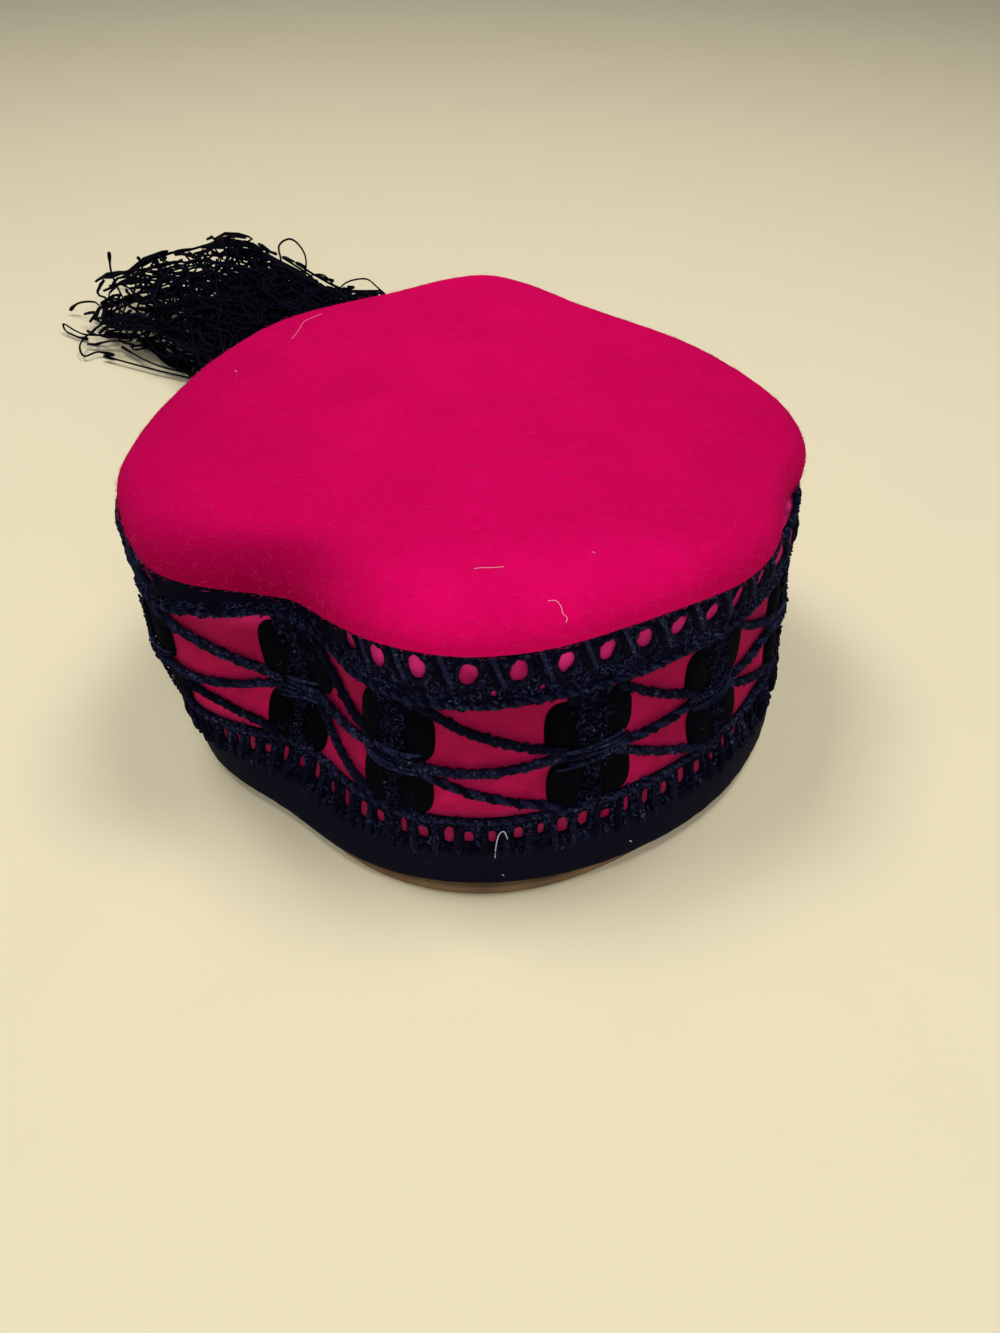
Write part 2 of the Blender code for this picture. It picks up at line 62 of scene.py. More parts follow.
class Graph:
    """A node tree that is built in code, for a material, a shader group or a modifier."""

    def __init__(self, tree: bpy.types.NodeTree) -> None:
        """Take up a tree.

        Args:
            tree: the tree to add nodes to.
        """
        self.tree = tree

    def add(self, kind: str, inputs: dict | None = None, **settings) -> bpy.types.Node:
        """Add a node.

        Args:
            kind: the node's Blender type name.
            inputs: values or sockets for its inputs, by name or number.
            settings: the node's own properties.

        Returns:
            The new node.
        """
        node = self.tree.nodes.new(kind)
        for name, value in settings.items():
            setattr(node, name, value)
        for name, value in (inputs or {}).items():
            self.feed(node.inputs[name], value)
        return node

    def feed(self, socket: bpy.types.NodeSocket, value: Value) -> None:
        """Link a socket to another one, or set its value.

        Args:
            socket: the input.
            value: an output socket, or a plain value.
        """
        if isinstance(value, bpy.types.NodeSocket):
            self.tree.links.new(value, socket)
        elif hasattr(socket.default_value, "__len__") and len(socket.default_value) == 4 and len(value) == 3:
            socket.default_value = (*value, 1.0)
        else:
            socket.default_value = value

    def math(self, operation: str, first: Value, second: Value = 0.0) -> bpy.types.NodeSocket:
        """Result of a Math node on two numbers."""
        return self.add("ShaderNodeMath", {0: first, 1: second}, operation=operation).outputs[0]

    def vector(self, operation: str, first: Value, second: Value) -> bpy.types.NodeSocket:
        """Result of a Vector Math node on two vectors."""
        return self.add("ShaderNodeVectorMath", {0: first, 1: second}, operation=operation).outputs[0]

    def mix(self, factor: Value, first: Value, second: Value) -> bpy.types.NodeSocket:
        """Colour between two others, by the share of the second one."""
        return self.add("ShaderNodeMix", {0: factor, 6: first, 7: second}, data_type="RGBA").outputs[2]

    def band(self, value: Value, low: float, high: float) -> bpy.types.NodeSocket:
        """Number that runs from 0 to 1 while value runs from low to high."""
        return self.add("ShaderNodeMapRange", {0: value, 1: low, 2: high}).outputs[0]

    def noise(self, vector: Value, scale: Value, detail: float = 2.0,
              roughness: float = 0.5) -> bpy.types.NodeSocket:
        """Grey value of a noise texture."""
        values = {"Vector": vector, "Scale": scale, "Detail": detail, "Roughness": roughness}
        return self.add("ShaderNodeTexNoise", values).outputs[0]

    def place(self) -> bpy.types.NodeSocket:
        """The piece's own coordinates."""
        return self.add("ShaderNodeTexCoord").outputs["Object"]

    def tone(self) -> bpy.types.NodeSocket:
        """The tone that the piece's mesh holds."""
        return self.add("ShaderNodeAttribute", attribute_name=TONE_LAYER).outputs["Fac"]

    def group(self, tree: bpy.types.NodeTree, **inputs: Value) -> bpy.types.NodeOutputs:
        """Outputs of a shared shader group.

        Args:
            tree: the group.
            inputs: values or sockets for its inputs, with underscores for spaces.

        Returns:
            Its outputs.
        """
        values = {name.replace("_", " ").title(): value for name, value in inputs.items()}
        return self.add("ShaderNodeGroup", values, node_tree=tree).outputs


class ShaderGroups:
    """Effects that several finishes share, each built once as a shader node group."""

    def __init__(self) -> None:
        """Build the groups."""
        self.fuzz = self.make_fuzz()
        self.flecks = self.make_flecks()
        self.weave = self.make_weave()

    @staticmethod
    def new_group(name: str, inputs: dict[str, float | Colour]) -> tuple:
        """Empty group with named inputs, and outputs for a colour and a height.

        Args:
            name: the group's name.
            inputs: default value of each input; three numbers make a colour.

        Returns:
            The group, its graph, its inputs and its outputs.
        """
        tree = bpy.data.node_groups.new(name, "ShaderNodeTree")
        for label, value in inputs.items():
            kind = "NodeSocketColor" if isinstance(value, tuple) else "NodeSocketFloat"
            socket = tree.interface.new_socket(label, in_out="INPUT", socket_type=kind)
            socket.default_value = (*value, 1.0) if isinstance(value, tuple) else value
        for label, kind in (("Color", "NodeSocketColor"), ("Height", "NodeSocketFloat")):
            tree.interface.new_socket(label, in_out="OUTPUT", socket_type=kind)
        graph = Graph(tree)
        return tree, graph, graph.add("NodeGroupInput").outputs, graph.add("NodeGroupOutput").inputs

    def make_fuzz(self) -> bpy.types.NodeTree:
        """Matted wool: mottled colour, short fibres in every direction and a soft uneven height.

        Returns:
            The group.
        """
        tree, graph, given, result = self.new_group("matted_wool", {
            "Deep": (0.3, 0.0, 0.05), "Base": (0.6, 0.0, 0.1), "Fibre": (0.9, 0.2, 0.4),
            "Mottle Scale": 60.0, "Fibre Scale": 900.0, "Fibre Amount": 0.5,
        })
        squashes = ((1.0, 0.16, 0.6), (0.16, 1.0, 0.6), (0.5, 0.5, 0.12))
        place = graph.place()
        mottle = graph.noise(place, given["Mottle Scale"], detail=3.0)
        bent = graph.vector("ADD", place, mottle)
        strands = None
        for squash in squashes:
            stretched = graph.vector("MULTIPLY", bent, squash)
            layer = graph.noise(stretched, given["Fibre Scale"], roughness=0.6)
            strands = layer if strands is None else graph.math("MAXIMUM", strands, layer)
        fibres = graph.math("MULTIPLY", graph.band(strands, 0.58, 0.78), given["Fibre Amount"])
        tone = graph.mix(graph.band(mottle, 0.35, 0.65), given["Deep"], given["Base"])
        graph.feed(result["Color"], graph.mix(fibres, tone, given["Fibre"]))
        height = graph.math("ADD", graph.math("MULTIPLY", strands, 0.6), graph.math("MULTIPLY", mottle, 0.4))
        graph.feed(result["Height"], height)
        return tree

    def make_flecks(self) -> bpy.types.NodeTree:
        """Yarn: dark colour with paler flecks where loops catch the light, and a fine lumpy height.

        Returns:
            The group.
        """
        tree, graph, given, result = self.new_group("yarn_flecks", {
            "Base": (0.005, 0.005, 0.015), "Fleck": (0.05, 0.06, 0.1), "Scale": 900.0, "Amount": 0.5,
        })
        place = graph.place()
        lumps = graph.noise(place, given["Scale"], detail=3.0, roughness=0.65)
        patches = graph.noise(place, 130.0, detail=1.0)
        shown = graph.math("MULTIPLY", graph.band(lumps, 0.54, 0.68), graph.band(patches, 0.35, 0.6))
        factor = graph.math("MULTIPLY", shown, given["Amount"])
        graph.feed(result["Color"], graph.mix(factor, given["Base"], given["Fleck"]))
        graph.feed(result["Height"], lumps)
        return tree

    def make_weave(self) -> bpy.types.NodeTree:
        """Fine cloth: threads along and across the piece's own UV map, given in millimetres.

        Returns:
            The group.
        """
        tree, graph, given, result = self.new_group("fine_weave", {
            "Base": (0.4, 0.0, 0.1), "Thread": (0.5, 0.05, 0.2), "Threads Per Mm": 1.5, "Contrast": 0.5,
        })
        place = graph.add("ShaderNodeUVMap", uv_map=UV_LAYER).outputs[0]
        axes = graph.add("ShaderNodeSeparateXYZ", {0: place}).outputs
        waves = []
        for axis in (0, 1):
            turns = graph.math("MULTIPLY", axes[axis], given["Threads Per Mm"])
            waves.append(graph.math("SINE", graph.math("MULTIPLY", turns, 2 * math.pi)))
        crossing = graph.math("MULTIPLY", waves[0], waves[1])
        height = graph.math("ADD", graph.math("MULTIPLY", crossing, 0.5), 0.5)
        wobble = graph.noise(place, 0.7)
        mask = graph.math("MULTIPLY", graph.math("MULTIPLY", height, wobble), given["Contrast"])
        graph.feed(result["Color"], graph.mix(mask, given["Base"], given["Thread"]))
        graph.feed(result["Height"], height)
        return tree


def principled(name: str, slot: str, roughness: float, specular: float, sheen: float = 0.0,
               sheen_tint: Colour = (1.0, 1.0, 1.0)) -> tuple[bpy.types.Material, Graph, bpy.types.Node]:
    """New material with a Principled BSDF whose plain values are set on its own sockets.

    Args:
        name: the material's name.
        slot: the record's material slot that it belongs to.
        roughness: roughness all over.
        specular: specular level.
        sheen: weight of the cloth sheen.
        sheen_tint: colour of the cloth sheen.

    Returns:
        The material, its graph and its shader node.
    """
    finish = bpy.data.materials.new(name)
    finish.use_nodes = True
    finish["slot"] = slot
    shader = finish.node_tree.nodes["Principled BSDF"]
    shader.inputs["Roughness"].default_value = roughness
    shader.inputs["Specular IOR Level"].default_value = specular
    shader.inputs["Sheen Weight"].default_value = sheen
    shader.inputs["Sheen Tint"].default_value = (*sheen_tint, 1.0)
    return finish, Graph(finish.node_tree), shader


def bump(graph: Graph, shader: bpy.types.Node, height: Value, strength: float, distance: float) -> None:
    """Feed a height through a Bump node into a shader's normal.

    Args:
        graph: the material's graph.
        shader: its Principled BSDF.
        height: the height socket.
        strength: the Bump node's strength.
        distance: height of the relief in metres.
    """
    node = graph.add("ShaderNodeBump", {"Strength": strength, "Distance": distance, "Height": height})
    graph.feed(shader.inputs["Normal"], node.outputs[0])


@dataclass(frozen=True)
class FeltFinish:
    """Magenta wool felt, mixed by the mesh's tone towards a painted shade colour."""

    # Colour of painted shade, which the felt is mixed towards by the mesh's tone.
    painted_shade: Colour = (0.235, 0.0004, 0.032)
    deep: Colour = (0.672, 0.0011, 0.101)
    base: Colour = (0.738, 0.0014, 0.114)
    fibre: Colour = (0.760, 0.0060, 0.150)
    sheen_tint: Colour = (1.0, 0.15, 0.4)
    relief: float = 0.4 * MM

    def build(self, groups: ShaderGroups) -> bpy.types.Material:
        """Make the material.

        Args:
            groups: the shared shader groups.

        Returns:
            The material.
        """
        finish, graph, shader = principled("magenta_felt_nap", "magenta_felt", 0.95, 0.0, 0.04,
                                           self.sheen_tint)
        wool = graph.group(groups.fuzz, deep=self.deep, base=self.base, fibre=self.fibre,
                           mottle_scale=45.0, fibre_scale=1100.0, fibre_amount=0.35)
        # Painted shade: the mesh's tone mixes the felt towards the shade colour.
        graph.feed(shader.inputs["Base Color"], graph.mix(graph.tone(), wool["Color"], self.painted_shade))
        bump(graph, shader, wool["Height"], 0.55, self.relief)
        return finish


@dataclass(frozen=True)
class NapFinish:
    """Loose paler fibres that stand off the felt."""

    base: Colour = (0.80, 0.038, 0.215)
    dull: Colour = (0.73, 0.012, 0.150)
    scale: float = 300.0

    def build(self) -> bpy.types.Material:
        """Make the material.

        Returns:
            The material.
        """
        finish, graph, shader = principled("loose_nap", "magenta_felt", 0.9, 0.0)
        shade = graph.mix(graph.noise(graph.place(), self.scale), self.dull, self.base)
        graph.feed(shader.inputs["Base Color"], shade)
        return finish


@dataclass(frozen=True)
class WallFinish:
    """Raspberry cloth behind the lace.

    It is pale behind the eyelets, where a paler cloth is pushed brighter still with painted light; below them
    it holds painted shade under the crown's overhang; lower down it is lighter, as painted light where less
    shade falls;
    and it is dull at the rim. Each band names the heights between which its colour comes in.
    """

    deep: Colour = (0.30, 0.004, 0.042)
    # The base colour holds painted shade: the cloth under the crown's overhang is made darker.
    base: Colour = (0.37, 0.006, 0.058)
    # The low colour is painted light: the lower cloth is made lighter, where less shade falls.
    low: Colour = (0.56, 0.008, 0.088)
    dull: Colour = (0.33, 0.022, 0.080)
    # The pale colour is a paler cloth behind the eyelets, pushed brighter with painted light.
    pale: Colour = (0.97, 0.040, 0.290)
    painted_low_light_band: tuple[float, float] = (0.054, 0.036)
    dull_band: tuple[float, float] = (0.030, 0.025)
    pale_and_painted_light_band: tuple[float, float] = (0.062, 0.074)
    sheen_tint: Colour = (1.0, 0.3, 0.5)
    relief: float = 0.25 * MM

    def build(self, groups: ShaderGroups) -> bpy.types.Material:
        """Make the material.

        Args:
            groups: the shared shader groups.

        Returns:
            The material.
        """
        finish, graph, shader = principled("raspberry_wool_cloth", "raspberry_cloth", 0.9, 0.02, 0.05,
                                           self.sheen_tint)
        height = graph.add("ShaderNodeSeparateXYZ", {0: graph.place()}).outputs[2]
        # Painted light and shade: lighter low down and behind the eyelets, over a base darkened under the
        # crown.
        body = self.base
        bands = ((self.painted_low_light_band, self.low), (self.dull_band, self.dull), (self.pale_and_painted_light_band, self.pale))
        for band, colour in bands:
            body = graph.mix(graph.band(height, *band), body, colour)
        wool = graph.group(groups.fuzz, deep=self.deep, base=body, fibre=self.pale,
                           mottle_scale=90.0, fibre_scale=1300.0, fibre_amount=0.25)
        weave = graph.group(groups.weave, base=wool["Color"], thread=self.pale, threads_per_mm=1.1,
                            contrast=0.12)
        graph.feed(shader.inputs["Base Color"], weave["Color"])
        relief = graph.math("ADD", graph.math("MULTIPLY", weave["Height"], 0.5), wool["Height"])
        bump(graph, shader, relief, 0.4, self.relief)
        return finish


@dataclass(frozen=True)
class YarnFinish:
    """Navy crochet yarn, or the tassel's thread.

    Each strand has its own tone, and all but the darkest have paler flecks. A rarity above 1 makes light
    strands rarer.
    """

    name: str
    slot: str
    base: Colour
    light: Colour
    fleck: Colour
    fleck_scale: float
    fleck_amount: float
    roughness: float
    sheen: float = 0.0
    rarity: float = 1.0
    sheen_tint: Colour = (0.45, 0.5, 0.75)
    relief: float = 0.25 * MM

    def build(self, groups: ShaderGroups) -> bpy.types.Material:
        """Make the material.

        Args:
            groups: the shared shader groups.

        Returns:
            The material.
        """
        finish, graph, shader = principled(self.name, self.slot, self.roughness, 0.035, self.sheen,
                                           self.sheen_tint)
        tone = graph.tone()
        flecked = graph.math("MULTIPLY", graph.band(tone, 0.0, 0.3), self.fleck_amount)
        strand = graph.mix(graph.math("POWER", tone, self.rarity), self.base, self.light)
        yarn = graph.group(groups.flecks, base=strand, fleck=self.fleck, scale=self.fleck_scale,
                           amount=flecked)
        graph.feed(shader.inputs["Base Color"], yarn["Color"])
        bump(graph, shader, yarn["Height"], 0.5, self.relief)
        return finish


NAVY_YARN = YarnFinish(
    name="navy_boucle_yarn", slot="navy_crochet", base=(0.0022, 0.0020, 0.0090),
    light=(0.0210, 0.0250, 0.0800), fleck=(0.120, 0.145, 0.280), fleck_scale=1000.0, fleck_amount=0.60,
    roughness=0.85, sheen=0.01, rarity=1.4,
)
BLACK_SATIN = YarnFinish(
    name="black_petal_thread", slot="navy_crochet", base=(0.0006, 0.0007, 0.0019),
    light=(0.0014, 0.0016, 0.0042), fleck=(0.008, 0.009, 0.018), fleck_scale=1400.0, fleck_amount=0.3,
    roughness=0.9,
)
TASSEL_THREAD = YarnFinish(
    name="black_tassel_thread", slot="black_thread", base=(0.0008, 0.0009, 0.0030),
    light=(0.0036, 0.0042, 0.0120), fleck=(0.014, 0.017, 0.036), fleck_scale=1500.0, fleck_amount=0.3,
    roughness=0.8,
)


@dataclass(frozen=True)
class RibbonFinish:
    """Smooth navy ribbon with fine crosswise ribs and a little dust."""

    base: Colour = (0.0025, 0.0026, 0.0112)
    thread: Colour = (0.0062, 0.0066, 0.0220)
    dust: Colour = (0.03, 0.03, 0.04)
    dust_amount: float = 0.2
    relief: float = 0.08 * MM

    def build(self, groups: ShaderGroups) -> bpy.types.Material:
        """Make the material.

        Args:
            groups: the shared shader groups.

        Returns:
            The material.
        """
        finish, graph, shader = principled("navy_rim_ribbon", "navy_ribbon", 0.75, 0.05)
        weave = graph.group(groups.weave, base=self.base, thread=self.thread, threads_per_mm=1.6,
                            contrast=0.8)
        specks = graph.band(graph.noise(graph.place(), 420.0, detail=3.0), 0.62, 0.75)
        dusty = graph.mix(graph.math("MULTIPLY", specks, self.dust_amount), weave["Color"], self.dust)
        graph.feed(shader.inputs["Base Color"], dusty)
        bump(graph, shader, weave["Height"], 0.35, self.relief)
        return finish


@dataclass(frozen=True)
class LeatherFinish:
    """Worn tan leather."""

    dark: Colour = (0.115, 0.068, 0.032)
    base: Colour = (0.230, 0.140, 0.068)
    relief: float = 0.08 * MM

    def build(self) -> bpy.types.Material:
        """Make the material.

        Returns:
            The material.
        """
        finish, graph, shader = principled("tan_leather_worn", "tan_leather", 0.55, 0.2)
        place = graph.place()
        wear = graph.noise(place, 70.0, detail=4.0)
        cells = graph.add("ShaderNodeTexVoronoi", {"Vector": place, "Scale": 900.0}).outputs["Distance"]
        tone = graph.mix(graph.band(wear, 0.3, 0.7), self.dark, self.base)
        graph.feed(shader.inputs["Base Color"], tone)
        graph.feed(shader.inputs["Roughness"], graph.math("ADD", graph.math("MULTIPLY", wear, 0.3), 0.4))
        bump(graph, shader, cells, 0.5, self.relief)
        return finish


@dataclass(frozen=True)
class PlainFinish:
    """A finish of one colour with a faint unevenness, for lint, stitches and the floor."""

    name: str
    slot: str
    base: Colour
    roughness: float = 0.8
    scale: float = 200.0
    unevenness: float = 0.06

    def build(self) -> bpy.types.Material:
        """Make the material.

        Returns:
            The material.
        """
        finish, graph, shader = principled(self.name, self.slot, self.roughness, 0.2)
        darker = tuple(part * (1 - self.unevenness) for part in self.base)
        mottled = graph.mix(graph.noise(graph.place(), self.scale), darker, self.base)
        graph.feed(shader.inputs["Base Color"], mottled)
        return finish


def closed_curve(values: np.ndarray, places: np.ndarray) -> np.ndarray:
    """Value of a closed smooth curve through evenly spaced values.

    Args:
        values: the values, along the first axis.
        places: where to read the curve, counted in values.

    Returns:
        One value for each place.
    """
    count = len(values)
    row = np.floor(places).astype(int)
    t = (places - row).reshape((-1,) + (1,) * (values.ndim - 1))
    a, b, c, d = (values[(row + step) % count] for step in (-1, 0, 1, 2))
    return b + 0.5 * t * ((c - a) + t * ((2 * a - 5 * b + 4 * c - d) + t * (3 * b - a - 3 * c + d)))


def open_curve(spots: np.ndarray, count: int) -> np.ndarray:
    """Points of a smooth curve through a row of spots.

    Args:
        spots: the spots.
        count: number of points.

    Returns:
        The points.
    """
    padded = np.vstack((2 * spots[0] - spots[1], spots, 2 * spots[-1] - spots[-2]))
    return closed_curve(padded, np.linspace(1, len(spots), count))


def eased(share: np.ndarray) -> np.ndarray:
    """Numbers held between 0 and 1, with a slow start and a slow end."""
    held = np.clip(share, 0, 1)
    return held * held * (3 - 2 * held)


def ramp(values: Numbers, start: float, end: float) -> Numbers:
    """Numbers that go from 0 at the start to 1 at the end, slowly at both."""
    return eased((values - start) / (end - start))


def blend(first: Numbers, last: Numbers, share: Numbers) -> Numbers:
    """Numbers that lie a share of the way from the first to the last."""
    return first + (last - first) * share


def directions(columns: int) -> np.ndarray:
    """Directions in degrees, evenly spaced round the cap."""
    return np.arange(columns) * 360 / columns


def softened(values: np.ndarray, spread: float) -> np.ndarray:
    """Smooth a closed ring of evenly spaced values.

    Args:
        values: the values.
        spread: how far each one spreads, in degrees round the ring.

    Returns:
        The smoothed values.
    """
    waves = np.arange(len(values) // 2 + 1)
    kept = np.exp(-0.5 * (np.radians(spread) * waves) ** 2)
    return np.fft.irfft(np.fft.rfft(values) * kept, len(values))


def bell(turns: Numbers, middle: float, spread: float) -> Numbers:
    """Numbers that are 1 in one direction and fall to 0 on both sides of it.

    Args:
        turns: directions in degrees.
        middle: the direction where they are 1.
        spread: how far from it they have fallen to little more than a third.

    Returns:
        One number for each direction.
    """
    return np.exp(-(((turns - middle + 180) % 360 - 180) / spread) ** 2)


def search_tree(mesh: bpy.types.Mesh) -> BVHTree:
    """Search tree of a mesh."""
    corners = [vert.co for vert in mesh.vertices]
    return BVHTree.FromPolygons(corners, [face.vertices for face in mesh.polygons])


def tree_of(node: str) -> BVHTree:
    """Search tree of one solid of the frame."""
    return search_tree(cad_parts[node].data)


def outer_radius(tree: BVHTree, azimuth: float, z: float) -> float:
    """Distance from the cap's axis to a solid's outer face.

    Args:
        tree: the solid's search tree.
        azimuth: direction in degrees, from +X towards +Y.
        z: height.

    Returns:
        The distance in metres.
    """
    out = Vector((math.cos(math.radians(azimuth)), math.sin(math.radians(azimuth)), 0.0))
    far = 0.2
    hit = tree.ray_cast(out * far + Vector((0, 0, z)), -out, far)
    return far - hit[3]


def outer_radii(node: str, heights: Sequence[float]) -> np.ndarray:
    """Distances from the cap's axis to a solid's outer face, at even stations round it.

    Args:
        node: the solid's name in the frame.
        heights: where to read each station.

    Returns:
        A row for each station, with one distance for each height.
    """
    tree = tree_of(node)
    turns = [index * 360 / STATIONS + OFF_CORNER for index in range(STATIONS)]
    return np.array([[outer_radius(tree, turn, z) for z in heights] for turn in turns])


class WallSurface:
    """Smooth outer face of the side wall, read from the frame, and the unrolled plane laid round it.

    FLARE is where the lace's unsewn upper edge stands off the cloth, FOLD where the wall is pushed in under
    the crown's dent, and SWELL where it swells out under the felt's drawn-in edge: azimuth, spread and
    distance. Each has a band of heights over which it comes in.
    """

    LEVELS = (0.0062, 0.0163, 0.0300, 0.0445, 0.0620, 0.0795)
    ROUNDING = 0.004
    COLUMNS = 1440
    ROW_STEP = 0.001
    TOP = 0.094
    FLOOR_MARGIN = 0.004
    FLARE = (186.0, 15.0, 0.0042)
    FLARE_BAND = (0.056, 0.080)
    FOLD = (226.0, 14.0, 0.005)
    FOLD_BAND = (0.063, 0.075)
    SWELL = (351.0, 15.0, 0.002)
    SWELL_BAND = (0.058, 0.070)

    def __init__(self, waist: float, start_azimuth: float) -> None:
        """Read the wall.

        Args:
            waist: height at which distances round the wall are measured.
            start_azimuth: direction of the unrolled plane's first edge.
        """
        places = np.arange(self.COLUMNS) * STATIONS / self.COLUMNS
        smooth = closed_curve(outer_radii("side_wall", self.LEVELS), places)
        self.rows = np.arange(-self.FLOOR_MARGIN, self.TOP, self.ROW_STEP)
        grid = np.array([np.interp(self.rows, self.LEVELS, column) for column in smooth])
        reach = int(3 * self.ROUNDING / self.ROW_STEP)
        kernel = np.exp(-0.5 * (np.arange(-reach, reach + 1) * self.ROW_STEP / self.ROUNDING) ** 2)
        kernel /= kernel.sum()
        padded = np.pad(grid, ((0, 0), (reach, reach)), mode="reflect", reflect_type="odd")
        self.grid = np.array([np.convolve(column, kernel, mode="valid") for column in padded])
        turns = directions(self.COLUMNS)
        forms = ((self.FOLD, self.FOLD_BAND, -1), (self.SWELL, self.SWELL_BAND, 1))
        for (middle, spread, depth), (low, high), way in forms:
            share = bell(turns, middle, spread)
            self.grid += way * depth * share[:, None] * ramp(self.rows, low, high)
        azimuths = start_azimuth + np.arange(self.COLUMNS + 1) * 360 / self.COLUMNS
        waist_line = self.polar(azimuths, np.full(self.COLUMNS + 1, waist))
        steps = np.linalg.norm(np.diff(waist_line, axis=0), axis=1)
        self.azimuths = azimuths
        self.distances = np.concatenate(([0.0], np.cumsum(steps)))
        self.length = float(self.distances[-1])

    def polar(self, azimuths: np.ndarray, heights: np.ndarray) -> np.ndarray:
        """Points on the wall's outer face.

        Args:
            azimuths: directions in degrees.
            heights: heights in metres.

        Returns:
            One point for each pair.
        """
        across = (azimuths % 360) * self.COLUMNS / 360
        up = np.clip((heights - self.rows[0]) / self.ROW_STEP, 0, len(self.rows) - 1.001)
        column, row = np.floor(across).astype(int) % self.COLUMNS, np.floor(up).astype(int)
        beside = (column + 1) % self.COLUMNS
        s, t = across - np.floor(across), up - row
        low = self.grid[column, row] * (1 - s) + self.grid[beside, row] * s
        high = self.grid[column, row + 1] * (1 - s) + self.grid[beside, row + 1] * s
        radius = low * (1 - t) + high * t
        turn = np.radians(azimuths)
        return np.column_stack((radius * np.cos(turn), radius * np.sin(turn), heights))

    def azimuth_at(self, distance: np.ndarray) -> np.ndarray:
        """Directions of places on the unrolled plane."""
        return np.interp(np.asarray(distance) % self.length, self.distances, self.azimuths)

    def distance_at(self, azimuth: float) -> float:
        """Place of a direction on the unrolled plane."""
        first = self.azimuths[0]
        return float(np.interp((azimuth - first) % 360 + first, self.azimuths, self.distances))

    def raised(self, azimuths: np.ndarray, heights: np.ndarray, out: np.ndarray) -> np.ndarray:
        """Points that stand off the wall along its own outward direction.

        Args:
            azimuths: directions in degrees.
            heights: heights in metres.
            out: distances from the cloth in metres.

        Returns:
            One point for each row.
        """
        turn, rise = 0.6, 0.0015
        here = self.polar(azimuths, heights)
        along = self.polar(azimuths + turn, heights) - self.polar(azimuths - turn, heights)
        upward = self.polar(azimuths, heights + rise) - self.polar(azimuths, heights - rise)
        normal = np.cross(along, upward)
        normal /= np.linalg.norm(normal, axis=1)[:, None]
        return here + normal * np.asarray(out)[:, None]

    def wrap(self, flat: np.ndarray) -> np.ndarray:
        """Carry points of the unrolled plane onto the wall.

        Args:
            flat: x along the wall, y up and z away from the cloth.

        Returns:
            The points in place.
        """
        azimuths = self.azimuth_at(flat[:, 0])
        low, high = self.FLARE_BAND
        middle, spread, reach = self.FLARE
        loose = ramp(flat[:, 1], low, high)
        flare = reach * bell(azimuths, middle, spread)
        return self.raised(azimuths, flat[:, 1], flat[:, 2] + flare * loose)


def coordinates(mesh: bpy.types.Mesh) -> np.ndarray:
    """Points of a mesh.

    Args:
        mesh: the mesh.

    Returns:
        A row of three numbers for each point.
    """
    flat = np.empty(len(mesh.vertices) * 3, np.float32)
    mesh.vertices.foreach_get("co", flat)
    return flat.reshape(-1, 3).astype(float)


def set_coordinates(mesh: bpy.types.Mesh, points: np.ndarray) -> None:
    """Move a mesh's points."""
    mesh.vertices.foreach_set("co", np.asarray(points, np.float32).ravel())
    mesh.update()


def mesh_of(name: str, points: np.ndarray, faces: Sequence,
            tones: np.ndarray | None = None) -> bpy.types.Mesh:
    """Smooth-shaded mesh.

    Args:
        name: the mesh's name.
        points: its points.
        faces: point numbers of each face.
        tones: a tone between 0 and 1 for each point.

    Returns:
        The mesh.
    """
    mesh = bpy.data.meshes.new(name)
    mesh.from_pydata(np.asarray(points).tolist(), [], [list(face) for face in faces])
    if tones is not None:
        layer = mesh.attributes.new(TONE_LAYER, "FLOAT", "POINT")
        layer.data.foreach_set("value", np.asarray(tones, np.float32))
    mesh.shade_smooth()
    mesh.update()
    return mesh


def loft_faces(rings: int, sides: int, closed: bool) -> np.ndarray:
    """Faces between rings of equal length.

    Args:
        rings: number of rings.
        sides: number of points in each.
        closed: whether the last ring meets the first.

    Returns:
        Four point numbers for each face, ring by ring.
    """
    side = np.arange(sides)
    beside = (side + 1) % sides
    low = np.arange(rings if closed else rings - 1)[:, None] * sides
    high = (low + sides) % (rings * sides)
    return np.stack((low + side, low + beside, high + beside, high + side), axis=-1).reshape(-1, 4)


def scratch_object(data: bpy.types.Mesh | bpy.types.Curve) -> bpy.types.Object:
    """Object that holds data only while it is being worked on.

    Args:
        data: the mesh or curve.

    Returns:
        The object.
    """
    piece = bpy.data.objects.new("scratch", data)
    bpy.context.scene.collection.objects.link(piece)
    return piece


def evaluated_mesh(piece: bpy.types.Object) -> bpy.types.Mesh:
    """Plain mesh of a scratch object with its modifiers, all of which are removed.

    Args:
        piece: the scratch object.

    Returns:
        The mesh.
    """
    mesh = bpy.data.meshes.new_from_object(piece.evaluated_get(bpy.context.evaluated_depsgraph_get()))
    piece.modifiers.clear()
    bpy.data.objects.remove(piece)
    return mesh


def add_piece(name: str, mesh: bpy.types.Mesh, finish: bpy.types.Material,
              *nodes: str) -> bpy.types.Object:
    """Put a finished mesh in the scene, riding on the cap.

    Args:
        name: the piece's name.
        mesh: its mesh.
        finish: its material.
        nodes: the solids of the frame that it stands for.

    Returns:
        The piece.
    """
    mesh.materials.clear()
    mesh.materials.append(finish)
    mesh.name = name
    piece = bpy.data.objects.new(name, mesh)
    bpy.context.scene.collection.objects.link(piece)
    if nodes:
        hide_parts(*nodes)
    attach(piece, "root")
    triangles = sum(len(face.vertices) - 2 for face in mesh.polygons)
    LOG.info("%s: %d triangles", name, triangles)
    return piece


@dataclass(frozen=True)
class Twist:
    """How a cord is plied: a ply's radius, its distance from the cord's middle, and the length of a turn."""

    radius: float
    lay: float
    pitch: float
    plies: int = 2


